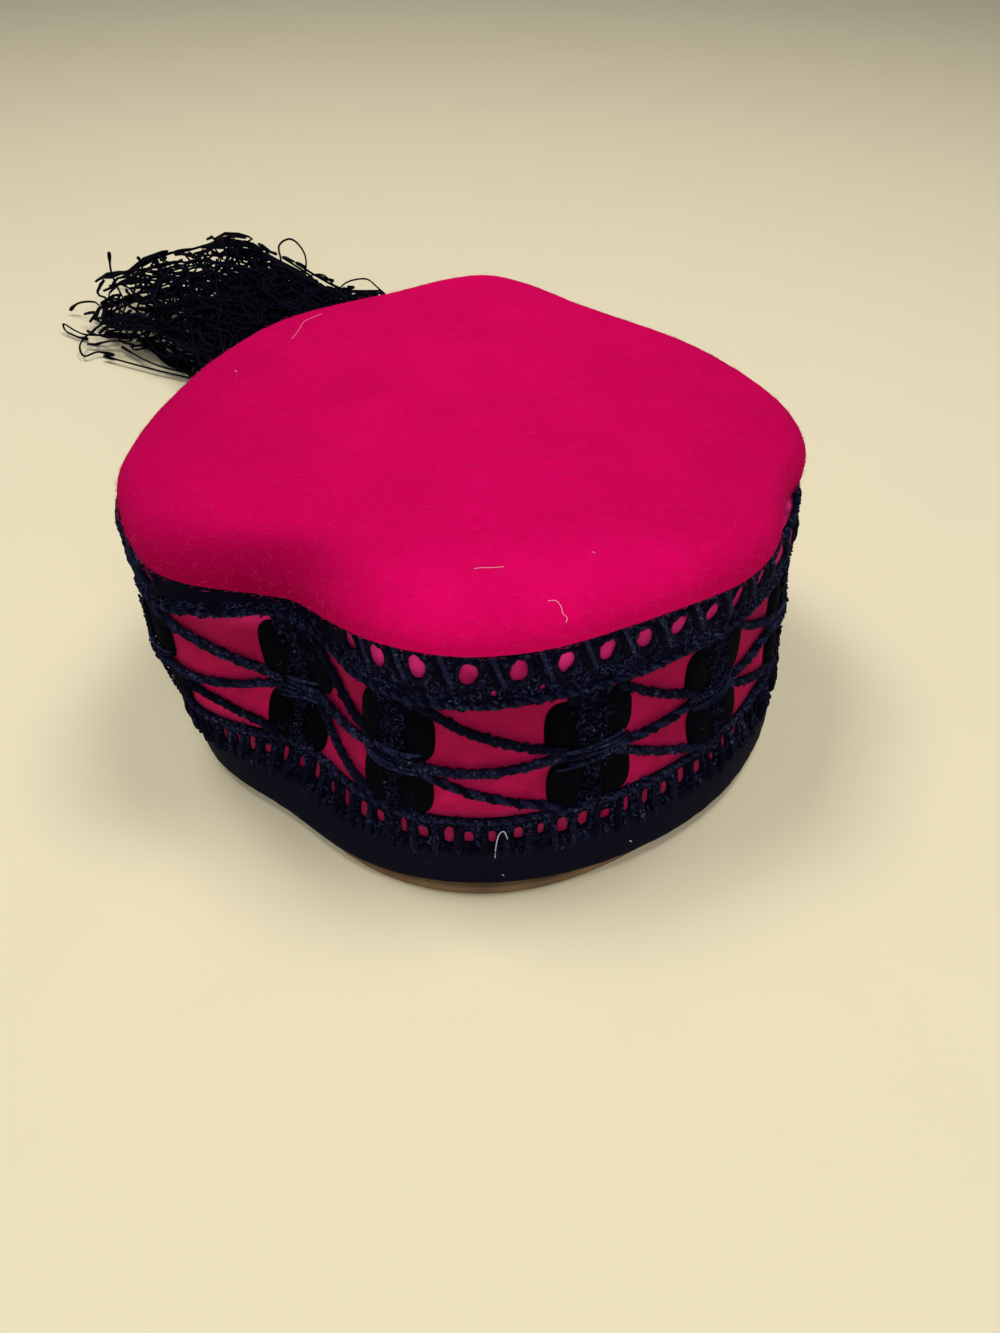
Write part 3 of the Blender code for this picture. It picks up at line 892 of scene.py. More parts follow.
class Strands:
    """Swept round strands, collected into one mesh."""

    def __init__(self, sides: int, seed: int = 0, wobble: float = 0.0) -> None:
        """Start without any strands.

        Args:
            sides: corners of a strand's section.
            seed: seed of everything random.
            wobble: unevenness of the strands' surface, as a share of their radius.
        """
        self.sides = sides
        self.wobble = wobble
        self.random = np.random.default_rng(seed)
        self.points: list[np.ndarray] = []
        self.faces: list[np.ndarray] = []
        self.caps: list[list[int]] = []
        self.tones: list[np.ndarray] = []
        self.count = 0

    @staticmethod
    def frames(path: np.ndarray, closed: bool, flat: bool) -> tuple[np.ndarray, np.ndarray]:
        """Two directions across a path at each of its points.

        Args:
            path: the points.
            closed: whether the path ends where it starts.
            flat: whether it lies near the unrolled plane, so that the plane's own outward direction serves.

        Returns:
            The first and the second direction at each point.
        """
        if closed:
            tangent = np.roll(path, -1, axis=0) - np.roll(path, 1, axis=0)
        else:
            tangent = np.gradient(path, axis=0)
        tangent /= np.maximum(np.linalg.norm(tangent, axis=1), 1e-12)[:, None]
        first = np.empty_like(path)
        upward = np.array((0.0, 0.0, 1.0))
        steep = not flat and abs(tangent[0, 2]) > 0.9
        across = np.array((1.0, 0.0, 0.0)) if steep else upward
        for index, along in enumerate(tangent):
            across = upward if flat else across
            across = across - along * np.dot(across, along)
            across = across / max(np.linalg.norm(across), 1e-9)
            first[index] = across
        return first, np.cross(tangent, first)

    def add(self, path: np.ndarray, radius: Numbers, closed: bool = False, flat: bool = False,
            tone: float | None = None, twist: float = 0.0, flute: float = 0.0) -> None:
        """Add one strand.

        Args:
            path: its middle line.
            radius: its radius, or one for each point.
            closed: whether it ends where it starts.
            flat: whether it lies near the unrolled plane.
            tone: its tone, or None for one at random.
            twist: length of one turn of its section, 0 for none.
            flute: how deep the section is fluted, as a share of its radius.
        """
        first, second = self.frames(path, closed, flat)
        radii = np.broadcast_to(np.asarray(radius, float), (len(path),))
        steps = np.linalg.norm(np.diff(path, axis=0, prepend=path[:1]), axis=1)
        turn = 2 * math.pi * np.cumsum(steps) / twist if twist else np.zeros(len(path))
        angles = 2 * math.pi * np.arange(self.sides) / self.sides
        swell = 1 + flute * np.cos(2 * angles[None, :] - turn[:, None])
        reach = radii[:, None] * swell * (1 + self.wobble * self.random.standard_normal(swell.shape))
        points = (
            path[:, None, :]
            + (reach * np.cos(angles))[:, :, None] * first[:, None, :]
            + (reach * np.sin(angles))[:, :, None] * second[:, None, :]
        ).reshape(-1, 3)
        rings = len(path)
        self.points.append(points)
        self.faces.append(loft_faces(rings, self.sides, closed) + self.count)
        if not closed:
            start = [self.count + side for side in reversed(range(self.sides))]
            end = [self.count + (rings - 1) * self.sides + side for side in range(self.sides)]
            self.caps += [start, end]
        level = self.random.random() if tone is None else tone
        self.tones.append(np.full(len(points), level))
        self.count += len(points)

    def add_plied(self, path: np.ndarray, twist: Twist, closed: bool = False) -> None:
        """Add a cord of strands twisted round each other, near the unrolled plane.

        Args:
            path: the cord's middle line.
            twist: how it is plied.
            closed: whether it ends where it starts.
        """
        first, second = self.frames(path, closed, True)
        steps = np.linalg.norm(np.diff(path, axis=0, prepend=path[:1]), axis=1)
        length = steps.sum() + (np.linalg.norm(path[0] - path[-1]) if closed else 0.0)
        turns = max(1, round(length / twist.pitch)) if closed else length / twist.pitch
        turn = 2 * math.pi * turns * np.cumsum(steps) / length
        start = self.random.uniform(0, 2 * math.pi)
        for ply in range(twist.plies):
            angle = turn + start + 2 * math.pi * ply / twist.plies
            offset = twist.lay * (np.cos(angle)[:, None] * first + np.sin(angle)[:, None] * second)
            tone = self.random.uniform(0.0, 0.55)
            self.add(path + offset, twist.radius, closed=closed, flat=True, tone=tone)

    def mesh(self, name: str, place: Callable[[np.ndarray], np.ndarray] | None = None) -> bpy.types.Mesh:
        """Mesh of every strand.

        Args:
            name: the mesh's name.
            place: carries the points from the unrolled plane to the wall, where they lie there.

        Returns:
            The mesh.
        """
        points = np.concatenate(self.points)
        if place is not None:
            points = place(points)
        faces = np.concatenate(self.faces).tolist() + self.caps
        return mesh_of(name, points, faces, np.concatenate(self.tones))


class Scatter:
    """Geometry Nodes tree that strews short bent strands over a surface."""

    INPUTS = {
        "Spacing": 0.001, "Density": 1.0e6, "Bend Radius": 0.001, "Sweep": 4.0, "Thickness": 0.0003,
        "Tilt": 0.6, "Smallest": 0.7, "Largest": 1.3,
    }

    def __init__(self, name: str, segments: int, sides: int, seed: int) -> None:
        """Build the tree.

        Args:
            name: the tree's name.
            segments: straight steps along each strand.
            sides: corners of its section.
            seed: seed of everything random.
        """
        tree = bpy.data.node_groups.new(name, "GeometryNodeTree")
        tree.is_modifier = True
        tree.interface.new_socket("Geometry", in_out="INPUT", socket_type="NodeSocketGeometry")
        for label, value in self.INPUTS.items():
            socket = tree.interface.new_socket(label, in_out="INPUT", socket_type="NodeSocketFloat")
            socket.default_value = value
        tree.interface.new_socket("Finish", in_out="INPUT", socket_type="NodeSocketMaterial")
        tree.interface.new_socket("Geometry", in_out="OUTPUT", socket_type="NodeSocketGeometry")
        graph = Graph(tree)
        given = graph.add("NodeGroupInput").outputs
        result = graph.add("NodeGroupOutput")
        spread = graph.add("GeometryNodeDistributePointsOnFaces", {
            "Mesh": given["Geometry"], "Distance Min": given["Spacing"], "Density Max": given["Density"],
            "Seed": seed,
        }, distribute_method="POISSON").outputs
        arc = graph.add("GeometryNodeCurveArc", {
            "Resolution": segments + 1, "Radius": given["Bend Radius"], "Sweep Angle": given["Sweep"],
        })
        section = graph.add("GeometryNodeCurvePrimitiveCircle", {
            "Resolution": sides, "Radius": given["Thickness"],
        })
        strand = graph.add("GeometryNodeCurveToMesh", {
            "Curve": arc.outputs["Curve"], "Profile Curve": section.outputs["Curve"], "Fill Caps": True,
        })
        tilt = given["Tilt"]
        lean = graph.add("ShaderNodeCombineXYZ", {0: tilt, 1: tilt, 2: math.pi}).outputs[0]
        against = graph.vector("MULTIPLY", lean, (-1.0, -1.0, -1.0))
        turns = graph.add("FunctionNodeRandomValue", {
            0: against, 1: lean, "Seed": seed + 1,
        }, data_type="FLOAT_VECTOR")
        turned = graph.add("FunctionNodeRotateRotation", {
            "Rotation": spread["Rotation"], "Rotate By": turns.outputs[0],
        }, rotation_space="LOCAL")
        sizes = graph.add("FunctionNodeRandomValue", {
            2: given["Smallest"], 3: given["Largest"], "Seed": seed + 2,
        }, data_type="FLOAT")
        strewn = graph.add("GeometryNodeInstanceOnPoints", {
            "Points": spread["Points"], "Instance": strand.outputs["Mesh"],
            "Rotation": turned.outputs[0], "Scale": sizes.outputs[1],
        })
        tones = graph.add("FunctionNodeRandomValue", {2: 0.0, 3: 1.0, "Seed": seed + 3}, data_type="FLOAT")
        toned = graph.add("GeometryNodeStoreNamedAttribute", {
            "Geometry": strewn.outputs["Instances"], "Name": TONE_LAYER, "Value": tones.outputs[1],
        }, data_type="FLOAT", domain="INSTANCE")
        real = graph.add("GeometryNodeRealizeInstances", {"Geometry": toned.outputs["Geometry"]})
        dressed = graph.add("GeometryNodeSetMaterial", {
            "Geometry": real.outputs["Geometry"], "Material": given["Finish"],
        })
        graph.feed(result.inputs["Geometry"], dressed.outputs["Geometry"])
        self.tree = tree

    def strew(self, surface: bpy.types.Mesh, finish: bpy.types.Material, **values: float) -> bpy.types.Mesh:
        """Strew strands over a surface.

        Args:
            surface: the mesh to strew them on.
            finish: their material.
            values: the tree's inputs, with underscores for spaces.

        Returns:
            A plain mesh of all the strands.
        """
        base = scratch_object(surface)
        modifier = base.modifiers.new("strew", "NODES")
        modifier.node_group = self.tree
        items = self.tree.interface.items_tree
        sockets = {item.name: item.identifier for item in items if item.in_out == "INPUT"}
        for label, value in values.items():
            modifier[sockets[label.replace("_", " ").title()]] = value
        modifier[sockets["Finish"]] = finish
        mesh = evaluated_mesh(base)
        mesh.shade_smooth()
        return mesh


def kept_strands(mesh: bpy.types.Mesh, strand: int, keep: np.ndarray) -> bpy.types.Mesh:
    """Copy of a strewn mesh with only some of its strands.

    Args:
        mesh: the strewn mesh.
        strand: number of points in each strand.
        keep: which strands to keep.

    Returns:
        The copy.
    """
    corners = np.empty(len(mesh.loops), np.int32)
    starts = np.empty(len(mesh.polygons), np.int32)
    totals = np.empty(len(mesh.polygons), np.int32)
    tones = np.empty(len(mesh.vertices), np.float32)
    mesh.loops.foreach_get("vertex_index", corners)
    mesh.polygons.foreach_get("loop_start", starts)
    mesh.polygons.foreach_get("loop_total", totals)
    mesh.attributes[TONE_LAYER].data.foreach_get("value", tones)
    points = np.repeat(keep, strand)
    number = np.cumsum(points) - 1
    held = keep[corners[starts] // strand]
    faces = [number[corners[start:start + total]] for start, total in zip(starts[held], totals[held])]
    return mesh_of("strands", coordinates(mesh)[points], [face.tolist() for face in faces], tones[points])


def unrolled_sheet(outlines: Sequence[Sequence[tuple[float, float]]], column: float,
                   rows: Sequence[float]) -> bpy.types.Mesh:
    """Flat sheet with holes, cut finely enough to be wrapped.

    Args:
        outlines: the sheet's edge, and then the edge of each hole.
        column: width of the vertical strips that it is cut into.
        rows: heights at which it is cut across.

    Returns:
        The sheet, facing +Z.
    """
    curve = bpy.data.curves.new("outline", "CURVE")
    curve.dimensions = "2D"
    curve.fill_mode = "BOTH"
    for outline in outlines:
        spline = curve.splines.new("POLY")
        spline.points.add(len(outline) - 1)
        for point, (x, y) in zip(spline.points, outline):
            point.co = (x, y, 0.0, 1.0)
        spline.use_cyclic_u = True
    mesh = evaluated_mesh(scratch_object(curve))
    bm = bmesh.new()
    bm.from_mesh(mesh)
    left = min(vert.co.x for vert in bm.verts)
    right = max(vert.co.x for vert in bm.verts)
    for x in np.arange(left + column, right, column):
        cut(bm, (x, 0, 0), (1, 0, 0))
    for y in rows:
        cut(bm, (0, y, 0), (0, 1, 0))
    bmesh.ops.triangulate(bm, faces=bm.faces[:])
    for face in bm.faces:
        if face.normal.z < 0:
            face.normal_flip()
    bm.to_mesh(mesh)
    bm.free()
    return mesh


def cut(bm: bmesh.types.BMesh, point: Sequence[float], normal: Sequence[float]) -> None:
    """Cut a mesh along a plane."""
    everything = bm.verts[:] + bm.edges[:] + bm.faces[:]
    bmesh.ops.bisect_plane(bm, geom=everything, dist=1e-7, plane_co=point, plane_no=normal)


@dataclass(frozen=True)
class PhotoView:
    """Where the photograph was taken from, as a pinhole camera over its 1000 x 1333 frame."""

    focal_px: float = 1000.0
    width_px: float = 1000.0
    height_px: float = 1333.0
    pitch: float = 44.19
    roll: float = -0.82
    distance: float = 0.3325
    aim_px: tuple[float, float] = (480.3, 662.1)
    aim_height: float = 0.003
    sensor_mm: float = 36.0

    def axes(self) -> tuple[Vector, Vector, Vector]:
        """Directions of the picture in space.

        Returns:
            The picture's right, its down and the direction of view.
        """
        pitch, roll = math.radians(self.pitch), math.radians(self.roll)
        forward = Vector((0.0, math.cos(pitch), -math.sin(pitch)))
        level = Vector((1.0, 0.0, 0.0))
        down = Vector((0.0, -math.sin(pitch), -math.cos(pitch)))
        right = math.cos(roll) * level + math.sin(roll) * down
        return right, -math.sin(roll) * level + math.cos(roll) * down, forward

    def direction(self, x_px: float, y_px: float) -> Vector:
        """Direction from the camera through a pixel of the photograph.

        Args:
            x_px: the pixel's distance from the left edge.
            y_px: its distance from the upper edge.

        Returns:
            The direction, of length 1.
        """
        right, down, forward = self.axes()
        x = (x_px - self.width_px / 2) / self.focal_px
        y = (y_px - self.height_px / 2) / self.focal_px
        return (right * x + down * y + forward).normalized()

    def pixels(self, places: np.ndarray) -> np.ndarray:
        """Pixels of the photograph at which places are seen.

        Args:
            places: the places, one in each row.

        Returns:
            A row of two pixel coordinates for each place.
        """
        right, down, forward = (np.array(axis) for axis in self.axes())
        away = places - np.array(self.place())
        depth = away @ forward
        x = self.width_px / 2 + self.focal_px * (away @ right) / depth
        return np.column_stack((x, self.height_px / 2 + self.focal_px * (away @ down) / depth))

    def place(self) -> Vector:
        """The camera's position."""
        return Vector((0.0, 0.0, self.aim_height)) - self.direction(*self.aim_px) * self.distance

    def build(self) -> None:
        """Add the camera and make it the scene's own."""
        right, down, forward = self.axes()
        data = bpy.data.cameras.new("photo_camera")
        data.sensor_width = self.sensor_mm
        data.lens = self.sensor_mm * self.focal_px / self.height_px
        data.clip_start = 0.01
        camera = bpy.data.objects.new("photo_camera", data)
        turn = Matrix((right, -down, -forward)).transposed().to_4x4()
        camera.matrix_world = Matrix.Translation(self.place()) @ turn
        bpy.context.scene.collection.objects.link(camera)
        bpy.context.scene.camera = camera


@dataclass(frozen=True)
class Lamp:
    """Square soft light that faces the cap."""

    name: str
    place: tuple[float, float, float]
    size: float
    power: float
    colour: Colour = (1.0, 0.98, 0.95)
    target: tuple[float, float, float] = (0.0, 0.0, 0.05)

    def build(self) -> None:
        """Add the light."""
        data = bpy.data.lights.new(self.name, "AREA")
        data.shape = "SQUARE"
        data.size = self.size
        data.energy = self.power
        data.color = self.colour
        lamp = bpy.data.objects.new(self.name, data)
        lamp.location = self.place
        lamp.rotation_euler = (Vector(self.target) - Vector(self.place)).to_track_quat("-Z", "Y").to_euler()
        bpy.context.scene.collection.objects.link(lamp)


@dataclass
class Studio:
    """Pale floor and soft light."""

    floor_size: float = 6.0
    floor_drop: float = 0.0002
    floor: PlainFinish = PlainFinish("pale_floor", "", (0.85, 0.77, 0.54), 0.9, 30.0, 0.03)
    lamps: tuple[Lamp, ...] = (
        Lamp("left", (-0.43, 0.18, 1.15), 0.40, 6.1),
        Lamp("right", (0.33, 0.18, 1.20), 0.40, 5.7),
        Lamp("front", (0.12, -0.95, 0.72), 0.8, 5.3, (1.0, 0.98, 0.96)),
    )
    glow: Colour = (0.92, 0.95, 1.0)
    glow_strength: float = 0.13

    def build(self) -> None:
        """Add the floor, the lights and the surrounding glow."""
        half = self.floor_size / 2
        corners = np.array(((-half, -half), (half, -half), (half, half), (-half, half)))
        points = np.column_stack((corners, np.full(4, -self.floor_drop)))
        mesh = mesh_of("floor", points, ((0, 1, 2, 3),))
        mesh.materials.append(self.floor.build())
        floor = bpy.data.objects.new("floor", mesh)
        bpy.context.scene.collection.objects.link(floor)
        for lamp in self.lamps:
            lamp.build()
        world = bpy.data.worlds.new("glow")
        world.use_nodes = True
        sky = world.node_tree.nodes["Background"]
        sky.inputs["Color"].default_value = (*self.glow, 1.0)
        sky.inputs["Strength"].default_value = self.glow_strength
        bpy.context.scene.world = world


@dataclass
class FeltCrown:
    """Flat felt crown with a rolled shoulder, a skirt over the lace, and its loose nap.

    Each trim is a direction in degrees and how many millimetres wider and higher than the frame's solid the
    photograph shows the crown there.
    """

    columns: int = 360
    felt: float = 2.5 * MM
    lip: float = 79.9 * MM
    lip_sag: float = 1.5 * MM
    crest: float = 91.4 * MM
    dome: float = 2.3 * MM
    roll_width: float = 8.0 * MM
    roll_height: float = 8.0 * MM
    front_azimuth: float = 278.0
    front_spread: float = 42.0
    front_width: float = 22.0 * MM
    front_height: float = 10.0 * MM
    reading_height: float = 81.5 * MM
    dent_azimuth: float = 228.0
    dent_spread: float = 15.0
    dent_width: float = 13.0 * MM
    dent_height: float = 11.0 * MM
    dent_fall: float = 2.0 * MM
    # Painted shade on the felt, given to its mesh as tone: most in the dent, a little on the top and more
    # towards the sides; the front roll is left lighter as painted light.
    dent_shade_share: float = 0.75
    dent_shade_spread: float = 19.0
    shade_lead: int = 5
    shade_rings: int = 12
    top_shade_share: float = 0.20
    side_shade_share: float = 0.26
    lit_half: float = 92.0 * MM
    trims: tuple[tuple[float, float, float], ...] = (
        (0, 1.0, 0.0), (12, 2.8, 0.0), (30, 3.2, 0.2), (48, 2.4, 0.2), (62, 0.8, -0.1), (72, -0.8, -0.7),
        (82, 0.4, 0.0), (90, 1.9, 0.6), (98, 0.0, 0.0), (108, -1.0, -0.7), (120, 0.2, 0.0), (134, 0.8, 0.1),
        (150, -2.8, 0.0), (165, -3.2, 0.0), (178, -1.4, 0.0), (190, -0.8, 0.0), (200, -4.4, 0.0),
        (207, -4.0, 0.0), (214, -1.2, 0.0), (224, -3.0, 0.0), (234, -1.0, 0.0), (246, -0.8, 0.0),
        (262, -0.8, 0.0), (288, -0.8, 0.0), (312, -1.8, 0.0), (324, -1.2, 0.0), (334, -2.2, 0.0),
        (339, -4.2, 0.0), (344, -5.6, 0.0), (349, -5.2, 0.0), (354, -1.6, 0.0),
    )
    trim_blur: float = 3.0
    top_rings: int = 40
    roll_rings: int = 16
    lip_rings: int = 7
    inner_rings: int = 7
    under_rings: int = 8
    middle_share: float = 0.985
    undulation: float = 0.22 * MM
    undulation_scales: tuple[float, float] = (28.0, 120.0)
    pile: float = 0.10 * MM
    pile_scale: float = 650.0
    fringe_from: int = 11

    def edge(self, turns: np.ndarray) -> np.ndarray:
        """Radius of the felt's edge in each direction, read from the frame."""
        read = outer_radii("crown_felt", (self.reading_height,))
        return closed_curve(read, turns * STATIONS / 360)[:, 0]

    def trim(self, turns: np.ndarray, kind: int) -> np.ndarray:
        """Trims in each direction in metres, of the first kind for width and of the second for height."""
        table = np.array(self.trims).T
        return softened(np.interp(turns, table[0], table[kind], period=360), self.trim_blur) * MM

    def rim(self, turns: np.ndarray) -> np.ndarray:
        """Radius of the edge in each direction, with the trims that the photograph asks for."""
        return self.edge(turns) + self.trim(turns, 1)

    def top_height(self, share: float, crest: np.ndarray) -> np.ndarray:
        """Height of the top in each direction, for a share of the way from its edge to its middle."""
        fade = (1 - share) ** 3
        return blend(self.crest, crest, fade) + self.dome * (1 - (1 - share) ** 2)

    def points(self) -> tuple[np.ndarray, int, int]:
        """Points of the crown in place.

        Returns:
            Rows of points from the top's middle over the edge and back under the top, the row where the
            edge's roll starts, and the number of rows of the outer face.
        """
        turns = directions(self.columns)
        dent = bell(turns, self.dent_azimuth, self.dent_spread)
        front = bell(turns, self.front_azimuth, self.front_spread) * (1 - dent)
        edge = self.rim(turns)
        lip = self.lip - self.lip_sag * dent
        crest = self.crest + self.trim(turns, 2) - self.dent_fall * dent
        width = blend(self.roll_width, self.front_width, front)
        width += (self.dent_width - self.roll_width) * dent
        half = self.felt / 2
        height = blend(self.roll_height, self.front_height, front)
        height = np.minimum(height + (self.dent_height - self.roll_height) * dent, crest - lip - half)
        foot = crest - height
        rows = []
        for share in np.linspace(self.middle_share, 0.02, self.top_rings):
            rows.append(((edge - width) * (1 - share), self.top_height(share, crest)))
        roll = len(rows)
        for turn in np.radians(np.linspace(90, 0, self.roll_rings)):
            rows.append((edge - width * (1 - math.cos(turn)), foot + height * math.sin(turn)))
        for turn in np.radians(np.linspace(0, 180, self.lip_rings)):
            rows.append((edge - half * (1 - math.cos(turn)), lip + half * (1 - math.sin(turn))))
        outer = len(rows) - self.lip_rings // 2
        for turn in np.radians(np.linspace(10, 90, self.inner_rings)):
            inside = edge - width + (width - self.felt) * math.cos(turn)
            rows.append((inside, foot + (height - self.felt) * math.sin(turn)))
        for share in np.linspace(0.1, self.middle_share, self.under_rings):
            rows.append(((edge - width) * (1 - share), self.top_height(share, crest) - self.felt))
        ways = np.radians(turns)
        points = [np.column_stack((radius * np.cos(ways), radius * np.sin(ways), z)) for radius, z in rows]
        return np.array(points), roll, outer

    def roughen(self, mesh: bpy.types.Mesh) -> None:
        """Give the felt its slight unevenness and pile, along its own outward direction.

        Args:
            mesh: the crown's mesh.
        """
        points = coordinates(mesh)
        normals = np.empty(len(points) * 3, np.float32)
        mesh.vertices.foreach_get("normal", normals)
        broad_scale, middle_scale = self.undulation_scales
        moves = []
        for point in points:
            place = Vector(point)
            broad = noise.noise(place * broad_scale)
            middle = noise.noise(place * middle_scale) * 0.35
            fine = noise.noise(place * self.pile_scale)
            moves.append(self.undulation * (broad + middle) + self.pile * fine)
        set_coordinates(mesh, points + normals.reshape(-1, 3) * np.array(moves)[:, None])

    def tones(self, rows: np.ndarray, roll: int) -> np.ndarray:
        """Share of painted shade on the felt: a little on the top, more towards its sides, none on the front
        roll, most in the dent.

        Args:
            rows: the crown's rows of points.
            roll: the row where the edge's roll starts.

        Returns:
            One number for each point.
        """
        turns = directions(self.columns)
        # Painted shade: a share that grows towards the sides, none at the front roll, and the most in the
        # dent.
        down = eased((np.arange(len(rows)) - roll + self.shade_lead) / self.shade_rings)[:, None]
        front = bell(turns, self.front_azimuth, self.front_spread)
        sides = np.clip(np.abs(rows[:, :, 0]) / self.lit_half, 0, 1) ** 2
        lie = (self.top_shade_share + self.side_shade_share * sides) * (1 - eased(down * front))
        dent_shade = self.dent_shade_share * down * bell(turns, self.dent_azimuth, self.dent_shade_spread)
        return (lie + (1 - lie) * dent_shade).ravel()

    def build(self, groups: ShaderGroups) -> BVHTree:
        """Make the crown and its nap.

        Args:
            groups: the shared shader groups.

        Returns:
            Search tree of the felt, for what lies on it.
        """
        rows, roll, outer = self.points()
        count, columns = rows.shape[:2]
        points = rows.reshape(-1, 3)
        points = np.vstack((points, points[:columns].mean(0), points[-columns:].mean(0)))
        top, under = len(points) - 2, len(points) - 1
        faces = loft_faces(count, columns, False)[:, [0, 3, 2, 1]].tolist()
        base = (count - 1) * columns
        for column in range(columns):
            beside = (column + 1) % columns
            faces += [(top, column, beside), (under, base + beside, base + column)]
        tones = np.append(self.tones(rows, roll), (self.top_shade_share, self.top_shade_share))
        mesh = mesh_of("crown", points, faces, tones)
        self.roughen(mesh)
        tree = search_tree(mesh)
        end = outer * columns
        shaped = coordinates(mesh)[:end]
        shown = [face for face in faces if max(face) < end]
        skin = mesh_of("skin", shaped, shown)
        start = (roll + self.fringe_from) * columns
        band = mesh_of("band", shaped, [face for face in shown if max(face) > start])
        add_piece("felt_crown", mesh, FeltFinish().build(groups), "crown_felt")
        nap = NapFinish().build()
        strewing = Scatter("felt_nap", segments=2, sides=3, seed=11)
        hairs = strewing.strew(skin, nap, spacing=1.6 * MM, density=1.0e6, bend_radius=1.6 * MM, sweep=1.1,
                               thickness=0.026 * MM, tilt=0.25, smallest=0.5, largest=1.4)
        add_piece("felt_nap", hairs, nap)
        fringe = strewing.strew(band, nap, spacing=1.0 * MM, density=2.0e6, bend_radius=1.2 * MM, sweep=1.3,
                                thickness=0.032 * MM, tilt=0.9, smallest=0.4, largest=1.1)
        add_piece("felt_edge_fuzz", fringe, nap)
        return tree


@dataclass
class ClothWall:
    """Cloth wall behind the lace, filled out a little at the right and tucked under the felt."""

    columns: int = 360
    outer_rings: int = 30
    tuck_rings: int = 7
    inner_rings: int = 8
    low: float = 5.4 * MM
    high: float = 84.0 * MM
    tuck_from: float = 76.8 * MM
    tuck_to: float = 79.4 * MM
    gap: float = 0.7 * MM
    cloth: float = 2.0 * MM
    swell: float = 0.25 * MM
    swell_around: float = 0.35
    swell_up: float = 90.0
    fill: float = 0.9 * MM
    fill_from: float = 64.0 * MM
    fill_to: float = 69.0 * MM
    fill_azimuth: float = 345.0
    fill_spread: float = 15.0

    def build(self, wall: WallSurface, crown: FeltCrown, groups: ShaderGroups) -> None:
        """Make the wall.

        Args:
            wall: the smooth surface that it follows.
            crown: the crown, under which its top is tucked in.
            groups: the shared shader groups.
        """
        turns = directions(self.columns)
        room = crown.rim(turns) - crown.felt - self.gap
        fill = self.fill * bell(turns, self.fill_azimuth, self.fill_spread)
        tuck = np.linspace(self.tuck_from, self.tuck_to, self.tuck_rings)
        up = (*np.linspace(self.low, self.tuck_from, self.outer_rings)[:-1], *tuck, self.high)
        down = (self.high, *tuck[::-1], *np.linspace(self.tuck_from, self.low, self.inner_rings)[1:])
        rows = []
        for z, out in [(z, 0.0) for z in up] + [(z, -self.cloth) for z in down]:
            spots = [Vector((turn * self.swell_around, z * self.swell_up, 4.0)) for turn in turns]
            uneven = [noise.noise(spot) for spot in spots]
            filled = fill * ramp(z, self.fill_from, self.fill_to)
            ring = wall.raised(turns, np.full(self.columns, z), out + filled + self.swell * np.array(uneven))
            reach = np.hypot(ring[:, 0], ring[:, 1])
            tucked = ramp(z, self.tuck_from, self.tuck_to)
            ring[:, :2] *= (1 + tucked * (np.minimum(reach, room + out) / reach - 1))[:, None]
            rows.append(ring)
        mesh = ring_mesh("wall", rows, up + down, wall.length)
        piece = add_piece("cloth_wall", mesh, WallFinish().build(groups), "side_wall")


def ring_mesh(name: str, rows: Sequence[np.ndarray], ups: Sequence[float], length: float) -> bpy.types.Mesh:
    """Closed mesh lofted through rings of equal length, with a UV map in millimetres.

    Args:
        name: the mesh's name.
        rows: the rings' points, outer face first and from the foot up.
        ups: the place of each ring across the UV map, in metres.
        length: the UV map's length round a ring, in metres.

    Returns:
        The mesh.
    """
    count, columns = len(rows), len(rows[0])
    mesh = mesh_of(name, np.concatenate(rows), loft_faces(count, columns, True).tolist())
    turns = directions(columns)
    left = np.tile(turns / 360 * length / MM, (count, 1))
    right = np.roll(left, -1, axis=1)
    right[:, -1] = left[:, -1] + left[:, 1]
    low = np.tile(np.array(ups)[:, None] / MM, columns)
    high = np.roll(low, -1, axis=0)
    places = np.stack((left, low, right, low, right, high, left, high), axis=-1)
    mesh.uv_layers.new(name=UV_LAYER).data.foreach_set("uv", places.astype(np.float32).ravel())
    return mesh


@dataclass(frozen=True)
class Hole:
    """Uneven oval hole in the lace, on the unrolled plane.

    A square above 2 makes it squarer than an ellipse. Uneven is how far its oval and its skew go.
    """

    x: float
    z: float
    half_width: float
    half_height: float
    phase: float
    square: float = 2.0
    uneven: tuple[float, float] = (0.07, 0.05)

    def path(self, count: int, margin: float) -> tuple[np.ndarray, np.ndarray]:
        """Line round the hole.

        Args:
            count: number of points.
            margin: distance outside the hole's edge.

        Returns:
            The points' x and their heights.
        """
        turns = 2 * math.pi * np.arange(count) / count
        oval, skew = self.uneven
        reach = 1 + oval * np.cos(2 * turns + self.phase) + skew * np.cos(3 * turns + 2.3 * self.phase)
        sides = np.abs(np.cos(turns)) ** self.square + np.abs(np.sin(turns)) ** self.square
        reach *= sides ** (-1 / self.square)
        x = self.x + (self.half_width * reach + margin) * np.cos(turns)
        return x, self.z + (self.half_height * reach + margin) * np.sin(turns)

    def covers(self, x: np.ndarray, z: np.ndarray, margin: float) -> np.ndarray:
        """Which places lie in the hole or within a margin of it."""
        across = np.abs((x - self.x) / (self.half_width + margin)) ** self.square
        return across + np.abs((z - self.z) / (self.half_height + margin)) ** self.square < 1


